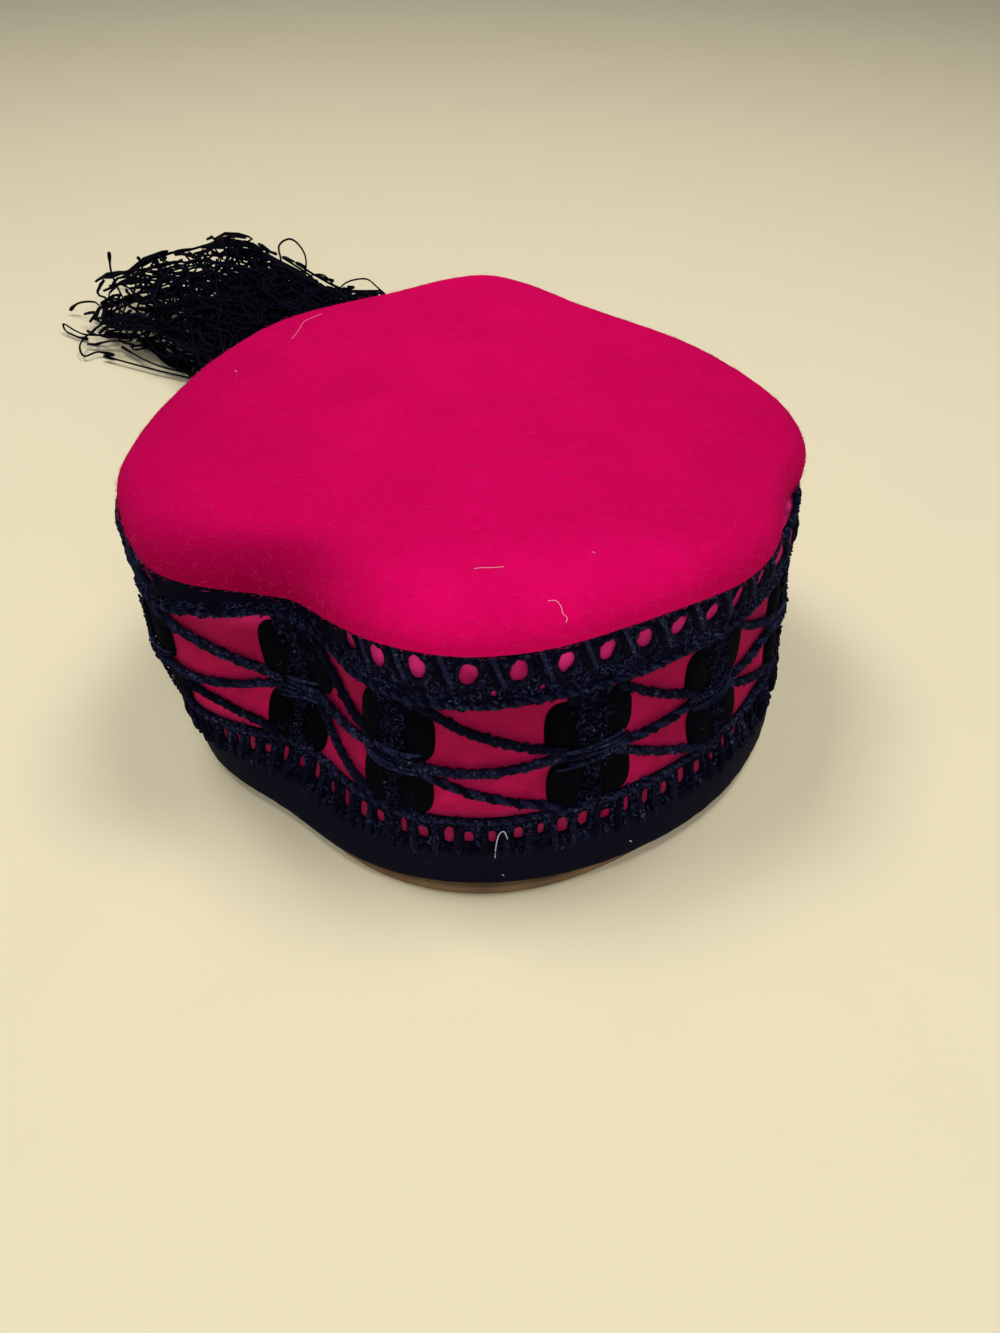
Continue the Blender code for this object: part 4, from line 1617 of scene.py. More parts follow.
@dataclass(frozen=True)
class PetalRow:
    """Two black petals side by side on each pillar, and the strip of yarn between them."""

    middle: float
    offset: float
    half_width: float
    half_height: float
    strip: float
    square: float = 2.7

    def depth(self, offset: np.ndarray, z: np.ndarray) -> np.ndarray:
        """Share of the way from a petal's middle to its edge, for distances from the pillar's middle."""
        across = np.abs((np.abs(offset) - self.offset) / self.half_width) ** self.square
        return (across + np.abs((z - self.middle) / self.half_height) ** self.square) ** (1 / self.square)

    @staticmethod
    def swell(depth: Numbers) -> Numbers:
        """Share of a petal's height, for a share of the way from its middle to its edge."""
        return np.clip(1 - depth ** 2.4, 0, 1) ** 0.6


@dataclass(frozen=True)
class CordRun:
    """One cord across a panel.

    Before and after say how far its ends reach past the panel's own, and bow how far its middle is moved up.
    """

    before: float
    start_z: float
    after: float
    end_z: float
    bow: float


@dataclass
class LaceBand:
    """Crochet band: eyelet border, pillars of four petals, three cords in each panel and a slotted border.

    Each pillar is a direction in degrees and how much wider than usual it is. Stretch says how much wider and
    higher the eyelets are where the band is stretched. Borders are the height of each chain and how far it
    stands off the cloth. Post_pair is how far aside each post of a pair stands, and its tone. Of the stubs of
    the lower border, the first kind stands beside the slots and the second one below them. Fuzz is the share
    of loops that is kept over a petal's middle and at its edge.
    """

    pillars: tuple[tuple[float, float], ...] = (
        (18, 1.0), (48, 1.05), (80, 1.0), (111, 1.05), (142, 1.0), (172, 1.0), (203, 1.0), (229, 1.02),
        (256, 1.05), (291.8, 1.22), (321.3, 1.1), (348, 1.0),
    )
    foot: float = 15.6 * MM
    lower_top: float = 27.0 * MM
    waist: float = 43.8 * MM
    upper_foot: float = 62.3 * MM
    top: float = 80.3 * MM
    petals: tuple[PetalRow, ...] = (
        PetalRow(52.6 * MM, 6.0 * MM, 4.1 * MM, 8.2 * MM, 2.9 * MM),
        PetalRow(34.8 * MM, 5.2 * MM, 4.4 * MM, 8.0 * MM, 1.7 * MM),
    )
    petal_height: float = 2.0 * MM
    petal_edge: float = 0.3 * MM
    petal_rings: int = 8
    petal_sectors: int = 30
    pillar_core: float = 6.0 * MM
    pillar_tone: float = 0.45
    between_rise: float = 0.6
    waist_rise: float = 0.35
    waist_half: float = 2.5 * MM
    fuzz: tuple[float, float] = (0.06, 0.42)
    sheet: float = 1.0 * MM
    sheet_back: float = 0.25 * MM
    column: float = 4.5 * MM
    row: float = 6.0 * MM
    cut_from: float = 20.0 * MM
    cut_to: float = 80.0 * MM
    eyelets_per_panel: int = 4
    eyelet_pitch: float = 11.3 * MM
    eyelet_z: float = 72.6 * MM
    eyelet_half: tuple[float, float] = (2.35 * MM, 2.9 * MM)
    eyelet_cut: float = 0.45 * MM
    eyelet_rim: float = 0.65 * MM
    eyelet_cord: float = 0.68 * MM
    eyelet_clear: float = 0.95 * MM
    # The dent's directions, where eyelets and upper loops are left out so that the bare dark ground stands
    # for the shadow under the felt: painted shade.
    painted_shade_from: float = 207.0
    painted_shade_to: float = 243.0
    stretch: tuple[float, float] = (0.70, 0.50)
    stretch_rise: float = 0.8 * MM
    stretch_azimuth: float = 347.0
    stretch_spread: float = 15.0
    chink_z: float = 66.6 * MM
    chink: float = 0.95 * MM
    chink_chance: float = 0.45
    chink_clear: float = 0.45 * MM
    slot_spacing: float = 5.8 * MM
    slot_z: float = 21.2 * MM
    slot_half: tuple[float, float] = (1.35 * MM, 2.9 * MM)
    slot_square: float = 3.4
    pushed_azimuth: float = 223.0
    pushed_spread: float = 13.0
    push: float = 5.0 * MM
    cord_start: float = 6.6 * MM
    cord_end: float = 7.0 * MM
    cord_out: float = 1.35 * MM
    cord_step: float = 0.5 * MM
    cord_twist: Twist = Twist(0.98 * MM, 0.34 * MM, 6.5 * MM)
    runs: tuple[CordRun, ...] = (
        CordRun(0.0, 62.0 * MM, 1.5 * MM, 46.2 * MM, -1.3 * MM),
        CordRun(1.5 * MM, 43.4 * MM, 1.5 * MM, 44.8 * MM, -1.5 * MM),
        CordRun(1.5 * MM, 42.0 * MM, 1.0 * MM, 28.2 * MM, -0.8 * MM),
    )
    borders: tuple[tuple[float, float], ...] = (
        (79.7 * MM, 1.0 * MM), (63.3 * MM, 1.3 * MM), (26.3 * MM, 1.3 * MM),
    )
    border_step: float = 0.8 * MM
    border_twist: Twist = Twist(0.62 * MM, 0.4 * MM, 3.4 * MM)
    post_top: float = 77.8 * MM
    post_length: float = 9.4 * MM
    post_lean: float = 3.4 * MM
    post_pair: tuple[tuple[float, float], ...] = ((-0.9 * MM, 0.0), (0.9 * MM, 0.6))
    post_radius: float = 0.75 * MM
    stub_feet: tuple[float, float] = (13.6 * MM, 15.2 * MM)
    stub_heads: tuple[float, float] = (25.2 * MM, 18.0 * MM)
    stub_radii: tuple[float, float] = (1.0 * MM, 0.75 * MM)
    waist_threads: int = 9
    waist_pitch: float = 0.7 * MM
    waist_thread: float = 0.45 * MM
    waist_reach: tuple[float, float] = (4.5 * MM, 8.4 * MM)
    seed: int = 5
    wall: WallSurface = field(init=False)

    def __post_init__(self) -> None:
        """Lay the unrolled plane round the wall."""
        self.wall = WallSurface(self.waist, start_azimuth=self.pillars[1][0])

    def places(self) -> list[float]:
        """Middles of the pillars on the unrolled plane, with the first one again at its end."""
        return sorted(self.wall.distance_at(azimuth) for azimuth, _ in self.pillars) + [self.wall.length]

    def spreads(self) -> list[float]:
        """How much wider than usual each pillar is, in the order of their places."""
        pairs = sorted((self.wall.distance_at(azimuth), spread) for azimuth, spread in self.pillars)
        return [spread for _, spread in pairs]

    def eyelets(self) -> list[Hole]:
        """The large eyelets under the crown, left out in the dent so that its dark ground is painted shade.

        Returns:
            The eyelets, in the order of their places.
        """
        random = np.random.default_rng(self.seed)
        holes = []
        places = self.places()
        for left, right in zip(places, places[1:]):
            for index in range(self.eyelets_per_panel):
                share = (index + 0.5) / self.eyelets_per_panel
                x = left + share * (right - left) + random.uniform(-0.4, 0.4) * MM
                azimuth = float(self.wall.azimuth_at(x))
                taut = bell(azimuth, self.stretch_azimuth, self.stretch_spread)
                width, height = (np.array(self.eyelet_half) * random.uniform(0.86, 1.12, 2)
                                 * (1 + taut * np.array(self.stretch)))
                z = self.eyelet_z + random.uniform(-0.4, 0.4) * MM + self.stretch_rise * taut
                hole = Hole(x, z, width, height, random.uniform(0, 6.3))
                # Eyelets in the dent are left out, so that the dark ground there is painted shade.
                if not self.painted_shade_from < azimuth % 360 < self.painted_shade_to:
                    holes.append(hole)
        return holes

    def chinks(self) -> list[Hole]:
        """The small gaps: under the eyelets, and the slots of the lower border.

        Returns:
            The gaps.
        """
        random = np.random.default_rng(self.seed + 1)
        holes = []
        eyelets = self.eyelets()
        for left, right in zip(eyelets, eyelets[1:]):
            if random.random() < self.chink_chance and right.x - left.x < 2 * self.eyelet_pitch:
                width, height = self.chink * random.uniform(0.6, 1.3, 2)
                x = (left.x + right.x) / 2
                holes.append(Hole(x, self.chink_z, width, height, random.uniform(0, 6.3)))
        half = self.slot_spacing / 2
        for middle in np.arange(half, self.wall.length - half, self.slot_spacing):
            width, height = np.array(self.slot_half) * random.uniform(0.6, 1.1, 2)
            x = middle + random.uniform(-0.5, 0.5) * MM
            z = self.slot_z + random.uniform(-0.7, 0.5) * MM
            holes.append(Hole(x, z, width, height, random.uniform(0, 6.3), self.slot_square))
        return holes

    def outlines(self) -> list[list[tuple[float, float]]]:
        """Outlines of the unrolled ground.

        Returns:
            The ground's edge, and then the edge of each hole in it.
        """
        length = self.wall.length
        edge = [(0.0, self.foot), (length, self.foot), (length, self.top), (0.0, self.top)]
        places = self.places()
        holes = []
        for left, right in zip(places, places[1:]):
            near, far = left + self.pillar_core, right - self.pillar_core
            low, high = self.lower_top, self.upper_foot
            holes.append([(near, low), (far, low), (far, high), (near, high)])
        holes += [list(zip(*hole.path(14, self.eyelet_cut))) for hole in self.eyelets()]
        holes += [list(zip(*hole.path(8, 0.0))) for hole in self.chinks()]
        return [edge, *holes]

    def wrap(self, flat: np.ndarray) -> np.ndarray:
        """Points of the unrolled plane on the wall, with the upper border pushed up where the dent folds it.

        Args:
            flat: for each point, its distance along the wall, its height and how far it stands out.

        Returns:
            The points in place.
        """
        pushed = bell(self.wall.azimuth_at(flat[:, 0]), self.pushed_azimuth, self.pushed_spread)
        below = ramp(flat[:, 1], self.waist, self.upper_foot)
        above = np.clip((self.top - flat[:, 1]) / (self.top - self.upper_foot), 0, 1)
        moved = flat.copy()
        moved[:, 1] += self.push * pushed * below * above
        return self.wall.wrap(moved)

    def offsets(self, x: np.ndarray) -> np.ndarray:
        """Distances along the wall from the nearest pillar's middle, as on a pillar of the usual width.

        Args:
            x: places along it.

        Returns:
            One signed distance for each place.
        """
        spreads = self.spreads()
        middles = np.array(self.places() + [0.0])
        away = x[:, None] - middles[None, :]
        nearest = np.abs(away).argmin(1)
        return away[np.arange(len(x)), nearest] / np.array([*spreads, spreads[0], spreads[-1]])[nearest]

    def build_sheet(self, yarn: bpy.types.Material) -> bpy.types.Mesh:
        """Make the ground of the lace.

        Args:
            yarn: its material.

        Returns:
            The ground unrolled and without thickness, for strewing.
        """
        rows = np.arange(self.cut_from, self.cut_to, self.row)
        flat = unrolled_sheet(self.outlines(), self.column, rows)
        body = scratch_object(flat.copy())
        shell = body.modifiers.new("thickness", "SOLIDIFY")
        shell.thickness = self.sheet - self.sheet_back
        shell.offset = 1.0
        thick = evaluated_mesh(body)
        raised = coordinates(thick) + np.array((0.0, 0.0, self.sheet_back))
        set_coordinates(thick, self.wrap(raised))
        thick.attributes.new(TONE_LAYER, "FLOAT", "POINT")
        add_piece("lace_ground", thick, yarn, "lace_band")
        return flat

    def build_loops(self, flat: bpy.types.Mesh, yarn: bpy.types.Material) -> None:
        """Strew the yarn's small loops over the ground, clear of the holes and of most of the petals.

        Args:
            flat: the unrolled ground.
            yarn: their material.
        """
        segments, sides = 4, 3
        strewing = Scatter("boucle_loops", segments, sides, seed=23)
        loops = strewing.strew(flat, yarn, spacing=0.86 * MM, density=2.0e6, bend_radius=0.72 * MM, sweep=4.0,
                               thickness=0.33 * MM, tilt=0.5, smallest=0.6, largest=1.2)
        strand = (segments + 1) * sides
        points = coordinates(loops)
        middles = points.reshape(-1, strand, 3).mean(1)
        x, z = middles[:, 0], middles[:, 1]
        offset = self.offsets(x)
        free = np.ones(len(x), bool)
        lift = np.full(len(x), self.sheet)
        chance = np.random.default_rng(self.seed + 8).random(len(x))
        tones = np.empty(len(points), np.float32)
        loops.attributes[TONE_LAYER].data.foreach_get("value", tones)
        for row in self.petals:
            depth = row.depth(offset, z)
            inside = depth < 1.02
            between = (np.abs(offset) < row.strip) & (np.abs(z - row.middle) < row.half_height)
            fuzzy = inside & ~between & (chance < blend(*self.fuzz, depth ** 5))
            free &= ~inside | between | fuzzy
            lift += np.where(between, self.between_rise * self.petal_height, 0.0)
            lift += np.where(fuzzy, (self.petal_height - self.sheet) * row.swell(depth), 0.0)
            tones *= np.repeat(np.where(between | fuzzy, self.pillar_tone, 1.0), strand)
        loops.attributes[TONE_LAYER].data.foreach_set("value", tones.astype(np.float32))
        crossed = (np.abs(z - self.waist) < self.waist_half) & (np.abs(offset) < self.pillar_core)
        lift += np.where(crossed, self.waist_rise * self.petal_height, 0.0)
        for hole in self.eyelets():
            free &= ~hole.covers(x, z, self.eyelet_clear)
        for hole in self.chinks():
            free &= ~hole.covers(x, z, self.chink_clear)
        points[:, 2] += np.repeat(lift, strand)
        set_coordinates(loops, self.wrap(points))
        turns = self.wall.azimuth_at(x) % 360
        # In the dent the upper loops are dropped, so that the bare dark ground stands for the shadow under
        # the felt: painted shade.
        free &= ~((turns > self.painted_shade_from) & (turns < self.painted_shade_to) & (z > self.chink_z))
        upper = z > 0.5 * (self.waist + self.upper_foot)
        add_piece("lace_loops_upper", kept_strands(loops, strand, free & upper), yarn)
        add_piece("lace_loops_lower", kept_strands(loops, strand, free & ~upper), yarn)

    def petal(self, row: PetalRow, middle: float, spread: float, side: int,
              random: np.random.Generator) -> np.ndarray:
        """Points of one padded petal on the unrolled plane.

        Args:
            row: the row that it belongs to.
            middle: its pillar's middle.
            spread: how much wider than usual the pillar is.
            side: -1 for the petal on the left and 1 for the one on the right.
            random: source of its irregularity.

        Returns:
            Its middle, and then its rings from the inside out.
        """
        shares = np.sin(np.linspace(0, math.pi / 2, self.petal_rings + 1))[1:]
        turns = 2 * math.pi * np.arange(self.petal_sectors) / self.petal_sectors
        grow = random.uniform(0.96, 1.04)
        drift = random.uniform(-0.25, 0.25) * MM
        centre = (middle + side * row.offset * spread + drift, row.middle + drift)
        points = [(*centre, self.petal_height)]
        for share in shares:
            height = blend(self.petal_edge, self.petal_height, row.swell(share))
            for turn in turns:
                c, s = math.cos(turn), math.sin(turn)
                reach = (abs(c) ** row.square + abs(s) ** row.square) ** (-1 / row.square) * share * grow
                points.append((centre[0] + row.half_width * spread * reach * c,
                               centre[1] + row.half_height * reach * s, height))
        return np.array(points)

    def build_petals(self, satin: bpy.types.Material) -> None:
        """Make the four padded black petals of each pillar.

        Args:
            satin: their material.
        """
        rings, sectors = self.petal_rings, self.petal_sectors
        random = np.random.default_rng(self.seed + 2)
        pattern = []
        for sector in range(sectors):
            beside = (sector + 1) % sectors
            pattern.append((0, 1 + sector, 1 + beside))
            for low in range(1, 1 + (rings - 1) * sectors, sectors):
                high = low + sectors
                pattern.append((low + sector, high + sector, high + beside, low + beside))
        pattern.append([1 + (rings - 1) * sectors + sector for sector in reversed(range(sectors))])
        points, faces, tones = [], [], []
        for middle, spread in zip(self.places(), self.spreads()):
            for row in self.petals:
                for side in (-1, 1):
                    start = len(tones)
                    points.append(self.petal(row, middle, spread, side, random))
                    tones += [random.uniform(0.0, 0.8)] * len(points[-1])
                    faces += [[start + corner for corner in face] for face in pattern]
        mesh = mesh_of("petals", self.wrap(np.concatenate(points)), faces, np.array(tones))
        add_piece("pillar_petals", mesh, satin)

    def build_cords(self, yarn: bpy.types.Material, random: np.random.Generator) -> None:
        """Make the three cords of each panel, the chains along the borders and the eyelets' rims.

        Args:
            yarn: their material.
            random: source of their irregularity.
        """
        cords = Strands(6, seed=self.seed + 3, wobble=0.20)
        places, spreads = self.places(), self.spreads()
        for left, right, spread, next_spread in zip(places, places[1:], spreads, spreads[1:] + spreads[:1]):
            near, far = left + self.cord_start * spread, right - self.cord_end * next_spread
            for run in self.runs:
                start, end = near - run.before, far + run.after
                t = np.linspace(0, 1, max(12, int((end - start) / self.cord_step)))
                bow = run.bow + random.uniform(-0.5, 0.5) * MM
                z = blend(run.start_z, run.end_z, t) + bow * np.sin(math.pi * t ** 0.85)
                path = np.column_stack((blend(start, end, t), z, np.full(len(t), self.cord_out)))
                cords.add_plied(path, self.cord_twist)
        steps = np.arange(0.0, self.wall.length, self.border_step)
        wave = 0.4 * MM * np.sin(steps / (9.0 * MM)) + 0.25 * MM * np.sin(steps / (3.1 * MM))
        for z, height in self.borders:
            path = np.column_stack((steps, z + wave, np.full(len(steps), height)))
            cords.add_plied(path, self.border_twist, closed=True)
        for hole in self.eyelets():
            x, z = hole.path(20, self.eyelet_rim)
            path = np.column_stack((x, z, np.full(len(x), self.sheet)))
            cords.add(path, self.eyelet_cord, closed=True, flat=True, tone=0.15)
        add_piece("lace_cords", cords.mesh("cords", self.wrap), yarn)

    def build_posts(self, yarn: bpy.types.Material, random: np.random.Generator) -> None:
        """Make the slanting posts between the eyelets, and the posts and stitches of the lower border.

        Args:
            yarn: their material.
            random: source of their irregularity.
        """
        posts = Strands(5, seed=self.seed + 5, wobble=0.12)
        eyelets = self.eyelets()
        for left, right in zip(eyelets, eyelets[1:]):
            if right.x - left.x > 2 * self.eyelet_pitch:
                continue
            middle = (left.x + right.x) / 2
            t = np.linspace(0, 1, 11)
            out = 1.0 * MM + 0.5 * MM * np.sin(math.pi * t)
            for shift, tone in self.post_pair:
                x = middle + shift + self.post_lean * (t - 0.5)
                path = np.column_stack((x, self.post_top - self.post_length * t, out))
                posts.add(path, self.post_radius, flat=True, tone=tone)
        for index, x in enumerate(np.arange(0.0, self.wall.length, self.slot_spacing / 2)):
            kind = index % 2
            t = np.linspace(0, 1, 9)
            low = self.stub_feet[kind] + random.uniform(-0.8, 0.8) * MM
            high = self.stub_heads[kind]
            lean = random.uniform(-1.2, 1.2) * MM
            out = 1.2 * MM + 1.2 * MM * t * np.sin(math.pi * t) ** 0.5 + 0.5 * MM * t
            across = x + random.uniform(-0.6, 0.6) * MM + lean * t
            path = np.column_stack((across, blend(high, low, t), out))
            swell = 0.55 + 0.45 * np.sin(math.pi * t ** 1.4)
            posts.add(path, self.stub_radii[kind] * swell, flat=True, tone=random.uniform(0.0, 0.3))
        add_piece("lace_posts", posts.mesh("posts", self.wrap), yarn)

    def build_waists(self, yarn: bpy.types.Material) -> None:
        """Make the threads that cross each pillar's waist.

        Args:
            yarn: their material.
        """
        threads = Strands(5, seed=self.seed + 6, wobble=0.1)
        random = np.random.default_rng(self.seed + 7)
        for middle, spread in zip(self.places(), self.spreads()):
            for index in range(self.waist_threads):
                step = index - self.waist_threads // 2
                z = self.waist + step * self.waist_pitch + random.uniform(-0.5, 0.5) * MM
                t = np.linspace(-1, 1, 14)
                reach = random.uniform(*self.waist_reach) * spread
                height = 0.5 * MM + self.petal_height * np.sqrt(1 - (0.93 * t) ** 2)
                tilt = random.uniform(-0.9, 0.9) * MM
                x = middle + random.uniform(-1.5, 1.5) * MM + t * reach
                threads.add(np.column_stack((x, z + tilt * t, height)), self.waist_thread, flat=True)
        add_piece("pillar_waists", threads.mesh("waists", self.wrap), yarn)

    def build(self, groups: ShaderGroups) -> None:
        """Make the whole band.

        Args:
            groups: the shared shader groups.
        """
        yarn = NAVY_YARN.build(groups)
        random = np.random.default_rng(self.seed + 4)
        flat = self.build_sheet(yarn)
        self.build_loops(flat, yarn)
        self.build_petals(BLACK_SATIN.build(groups))
        self.build_cords(yarn, random)
        self.build_posts(yarn, random)
        self.build_waists(yarn)


@dataclass
class RimRibbon:
    """Ribbon folded over the lower edge of the wall."""

    columns: int = 720
    foot: float = 3.0 * MM
    top: float = 15.9 * MM
    inner_top: float = 11.0 * MM
    outside: float = 1.7 * MM
    ribbon: float = 1.1 * MM
    inside: float = -3.7 * MM
    pucker: float = 0.16 * MM
    pucker_rise: float = 0.25 * MM
    outer_steps: int = 8

    def section(self) -> list[tuple[float, float]]:
        """Section of the folded ribbon.

        Returns:
            Its corners as distances from the wall and heights: up outside, and back round inside the fold.
        """
        out, inner, foot = self.outside, self.inside, self.foot
        behind, before = out - self.ribbon, inner + self.ribbon
        rise = (self.top - foot - 2.0 * MM) / self.outer_steps
        return [
            *[(out, foot + 1.2 * MM + rise * step) for step in range(self.outer_steps + 1)],
            (out - 0.35 * MM, self.top), (behind + 0.2 * MM, self.top - 0.1 * MM),
            (behind, self.top - 1.0 * MM), (behind, foot + 2.0 * MM),
            (before, foot + self.ribbon), (before, self.inner_top),
            (inner, self.inner_top), (inner, foot + 0.8 * MM), (inner + 0.8 * MM, foot),
            (out - 1.2 * MM, foot), (out - 0.35 * MM, foot + 0.35 * MM),
        ]

    def build(self, wall: WallSurface, groups: ShaderGroups) -> BVHTree:
        """Make the ribbon.

        Args:
            wall: the surface that it is wrapped round.
            groups: the shared shader groups.

        Returns:
            Search tree of the ribbon, for what lies on it.
        """
        turns = directions(self.columns)
        section = self.section()
        gather = np.array([noise.noise(Vector((turn * 1.6, 0.0, 7.0))) for turn in turns])
        rows, runs = [], []
        run = 0.0
        for index, (offset, z) in enumerate(section):
            if index:
                run += math.dist(section[index - 1], (offset, z))
            share = min(max((z - self.foot) / (self.top - self.foot), 0.0), 1.0)
            outer = 1.0 if offset > 0 else 0.0
            fold = np.array([noise.noise(Vector((turn * 0.42, z * 30.0, 1.0))) for turn in turns])
            moved = offset + outer * self.pucker * (fold + gather * share)
            rows.append(wall.raised(turns, z + outer * share * self.pucker_rise * fold, moved))
            runs.append(run)
        mesh = ring_mesh("ribbon", rows, runs, wall.length)
        piece = add_piece("rim_ribbon", mesh, RibbonFinish().build(groups), "rim_binding")
        return search_tree(mesh)


@dataclass
class LeatherBand:
    """Leather strip inside the rim, with the turned-out foot that shows under the ribbon at the front."""

    columns: int = 360
    top: float = 27.0 * MM
    outside: float = -4.7 * MM
    leather: float = 1.3 * MM
    foot_top: float = 2.7 * MM
    foot_front: float = 3.0 * MM
    foot_back: float = -1.6 * MM
    show_azimuth: float = 272.0
    stitch_z: float = 23.5 * MM
    stitch: float = 2.2 * MM
    thread: float = 0.22 * MM
    finish: PlainFinish = PlainFinish("cream_stitch_thread", "tan_leather", (0.42, 0.30, 0.17))

    def section(self, reach: np.ndarray) -> list[tuple[np.ndarray, float]]:
        """Section of the strip.

        Args:
            reach: how far the foot stands out in each direction.

        Returns:
            Its corners as distances from the wall and heights: up outside, down inside, out along the foot.
        """
        out = np.full(self.columns, self.outside)
        inner = out - self.leather
        return [
            (out, self.foot_top + 0.8 * MM), (out, 14.0 * MM), (out, self.top - 0.3 * MM),
            (out - 0.3 * MM, self.top), (inner + 0.3 * MM, self.top), (inner, self.top - 0.3 * MM),
            (inner, 14.0 * MM), (inner, 0.6 * MM), (inner + 0.6 * MM, 0.0), (reach - 0.9 * MM, 0.0),
            (reach - 0.25 * MM, 0.25 * MM), (reach, 0.9 * MM), (reach, self.foot_top - 0.8 * MM),
            (reach - 0.3 * MM, self.foot_top - 0.2 * MM), (reach - 0.9 * MM, self.foot_top),
            (out + 0.3 * MM, self.foot_top),
        ]

    def build(self, wall: WallSurface) -> None:
        """Make the strip and its row of stitches.

        Args:
            wall: the surface that it lies inside.
        """
        turns = directions(self.columns)
        share = np.maximum(0.0, np.cos(np.radians(turns - self.show_azimuth))) ** 8
        section = self.section(blend(self.foot_back, self.foot_front, share))
        rows = [wall.raised(turns, np.full(self.columns, z), offset) for offset, z in section]
        mesh = ring_mesh("leather", rows, [z for _, z in section], wall.length)
        add_piece("leather_band", mesh, LeatherFinish().build(), "sweatband")
        stitches = Strands(5, seed=3)
        t = np.linspace(0, 1, 7)
        height = self.outside - self.leather - 0.10 * MM - 0.25 * MM * np.sin(math.pi * t)
        for x in np.arange(0.0, wall.length, 2 * self.stitch):
            path = np.column_stack((x + self.stitch * 1.3 * t, np.full(len(t), self.stitch_z), height))
            stitches.add(path, self.thread, flat=True)
        add_piece("leather_stitches", stitches.mesh("stitches", wall.wrap), self.finish.build())


class Lay(Enum):
    """How a tassel thread lies."""

    CORE = "under the heap"
    HEAP = "in the heap"
    LOOSE = "over and round the heap"


@dataclass(frozen=True)
class Habit:
    """What follows from how a thread lies: shares of the tassel's reach, height, curl and thickness."""

    reach: tuple[float, float]
    height: tuple[float, float]
    curl: float
    thickness: float
    count: int


HABITS = {
    Lay.CORE: Habit(reach=(0.45, 0.92), height=(0.0, 0.85), curl=0.60, thickness=2.4, count=64),
    Lay.HEAP: Habit(reach=(0.52, 0.97), height=(0.0, 1.00), curl=1.00, thickness=1.0, count=310),
    Lay.LOOSE: Habit(reach=(0.78, 1.02), height=(0.3, 1.10), curl=1.20, thickness=1.0, count=46),
}


@dataclass(frozen=True)
class Stray:
    """Thread that stands out of the heap, drawn through pixels of the photograph at given heights."""

    name: str
    pixels: tuple[tuple[float, float], ...]
    heights_mm: tuple[float, ...]


STRAYS = (
    Stray("tall_end", ((146, 316), (128, 305), (117, 286), (111, 271), (109, 252)), (6, 9, 13, 17, 24)),
    Stray("second_end", ((172, 306), (156, 292), (145, 276), (141, 264), (138, 257)), (8, 11, 15, 18, 20)),
    Stray("third_end", ((190, 300), (172, 286), (160, 274), (157, 260)), (9, 13, 17, 20)),
    Stray("bent_end", ((150, 322), (124, 316), (103, 308), (94, 302), (79, 303), (70, 310)),
          (4, 6, 9, 10, 7, 2)),
    Stray("looped_end", ((130, 334), (90, 335), (76, 331), (64, 324), (66, 331), (78, 337), (88, 339)),
          (5, 5, 4, 4, 2, 1, 1)),
    Stray("knotty_loop", ((122, 336), (106, 337), (90, 334), (80, 345), (84, 356), (98, 352), (114, 355)),
          (6, 6, 5, 4, 2, 2, 2)),
    Stray("low_thread", ((190, 378), (160, 371), (133, 364), (104, 356)), (2, 2, 2, 2)),
    Stray("lower_thread", ((196, 374), (170, 369), (147, 361), (122, 347)), (3, 3, 3, 3)),
    Stray("large_loop", ((280, 285), (281, 262), (279, 246), (289, 239), (299, 245), (306, 260), (303, 284)),
          (10, 16, 22, 25, 24, 18, 10)),
    Stray("low_loop", ((300, 292), (306, 278), (323, 275), (336, 288), (345, 300)), (8, 11, 11, 8, 4)),
    Stray("right_loop", ((333, 300), (340, 288), (350, 281), (366, 279), (376, 286), (386, 296)),
          (5, 9, 11, 11, 9, 5)),
    Stray("top_curl", ((225, 262), (232, 246), (244, 241), (256, 247), (262, 262)), (20, 26, 28, 26, 20)),
)


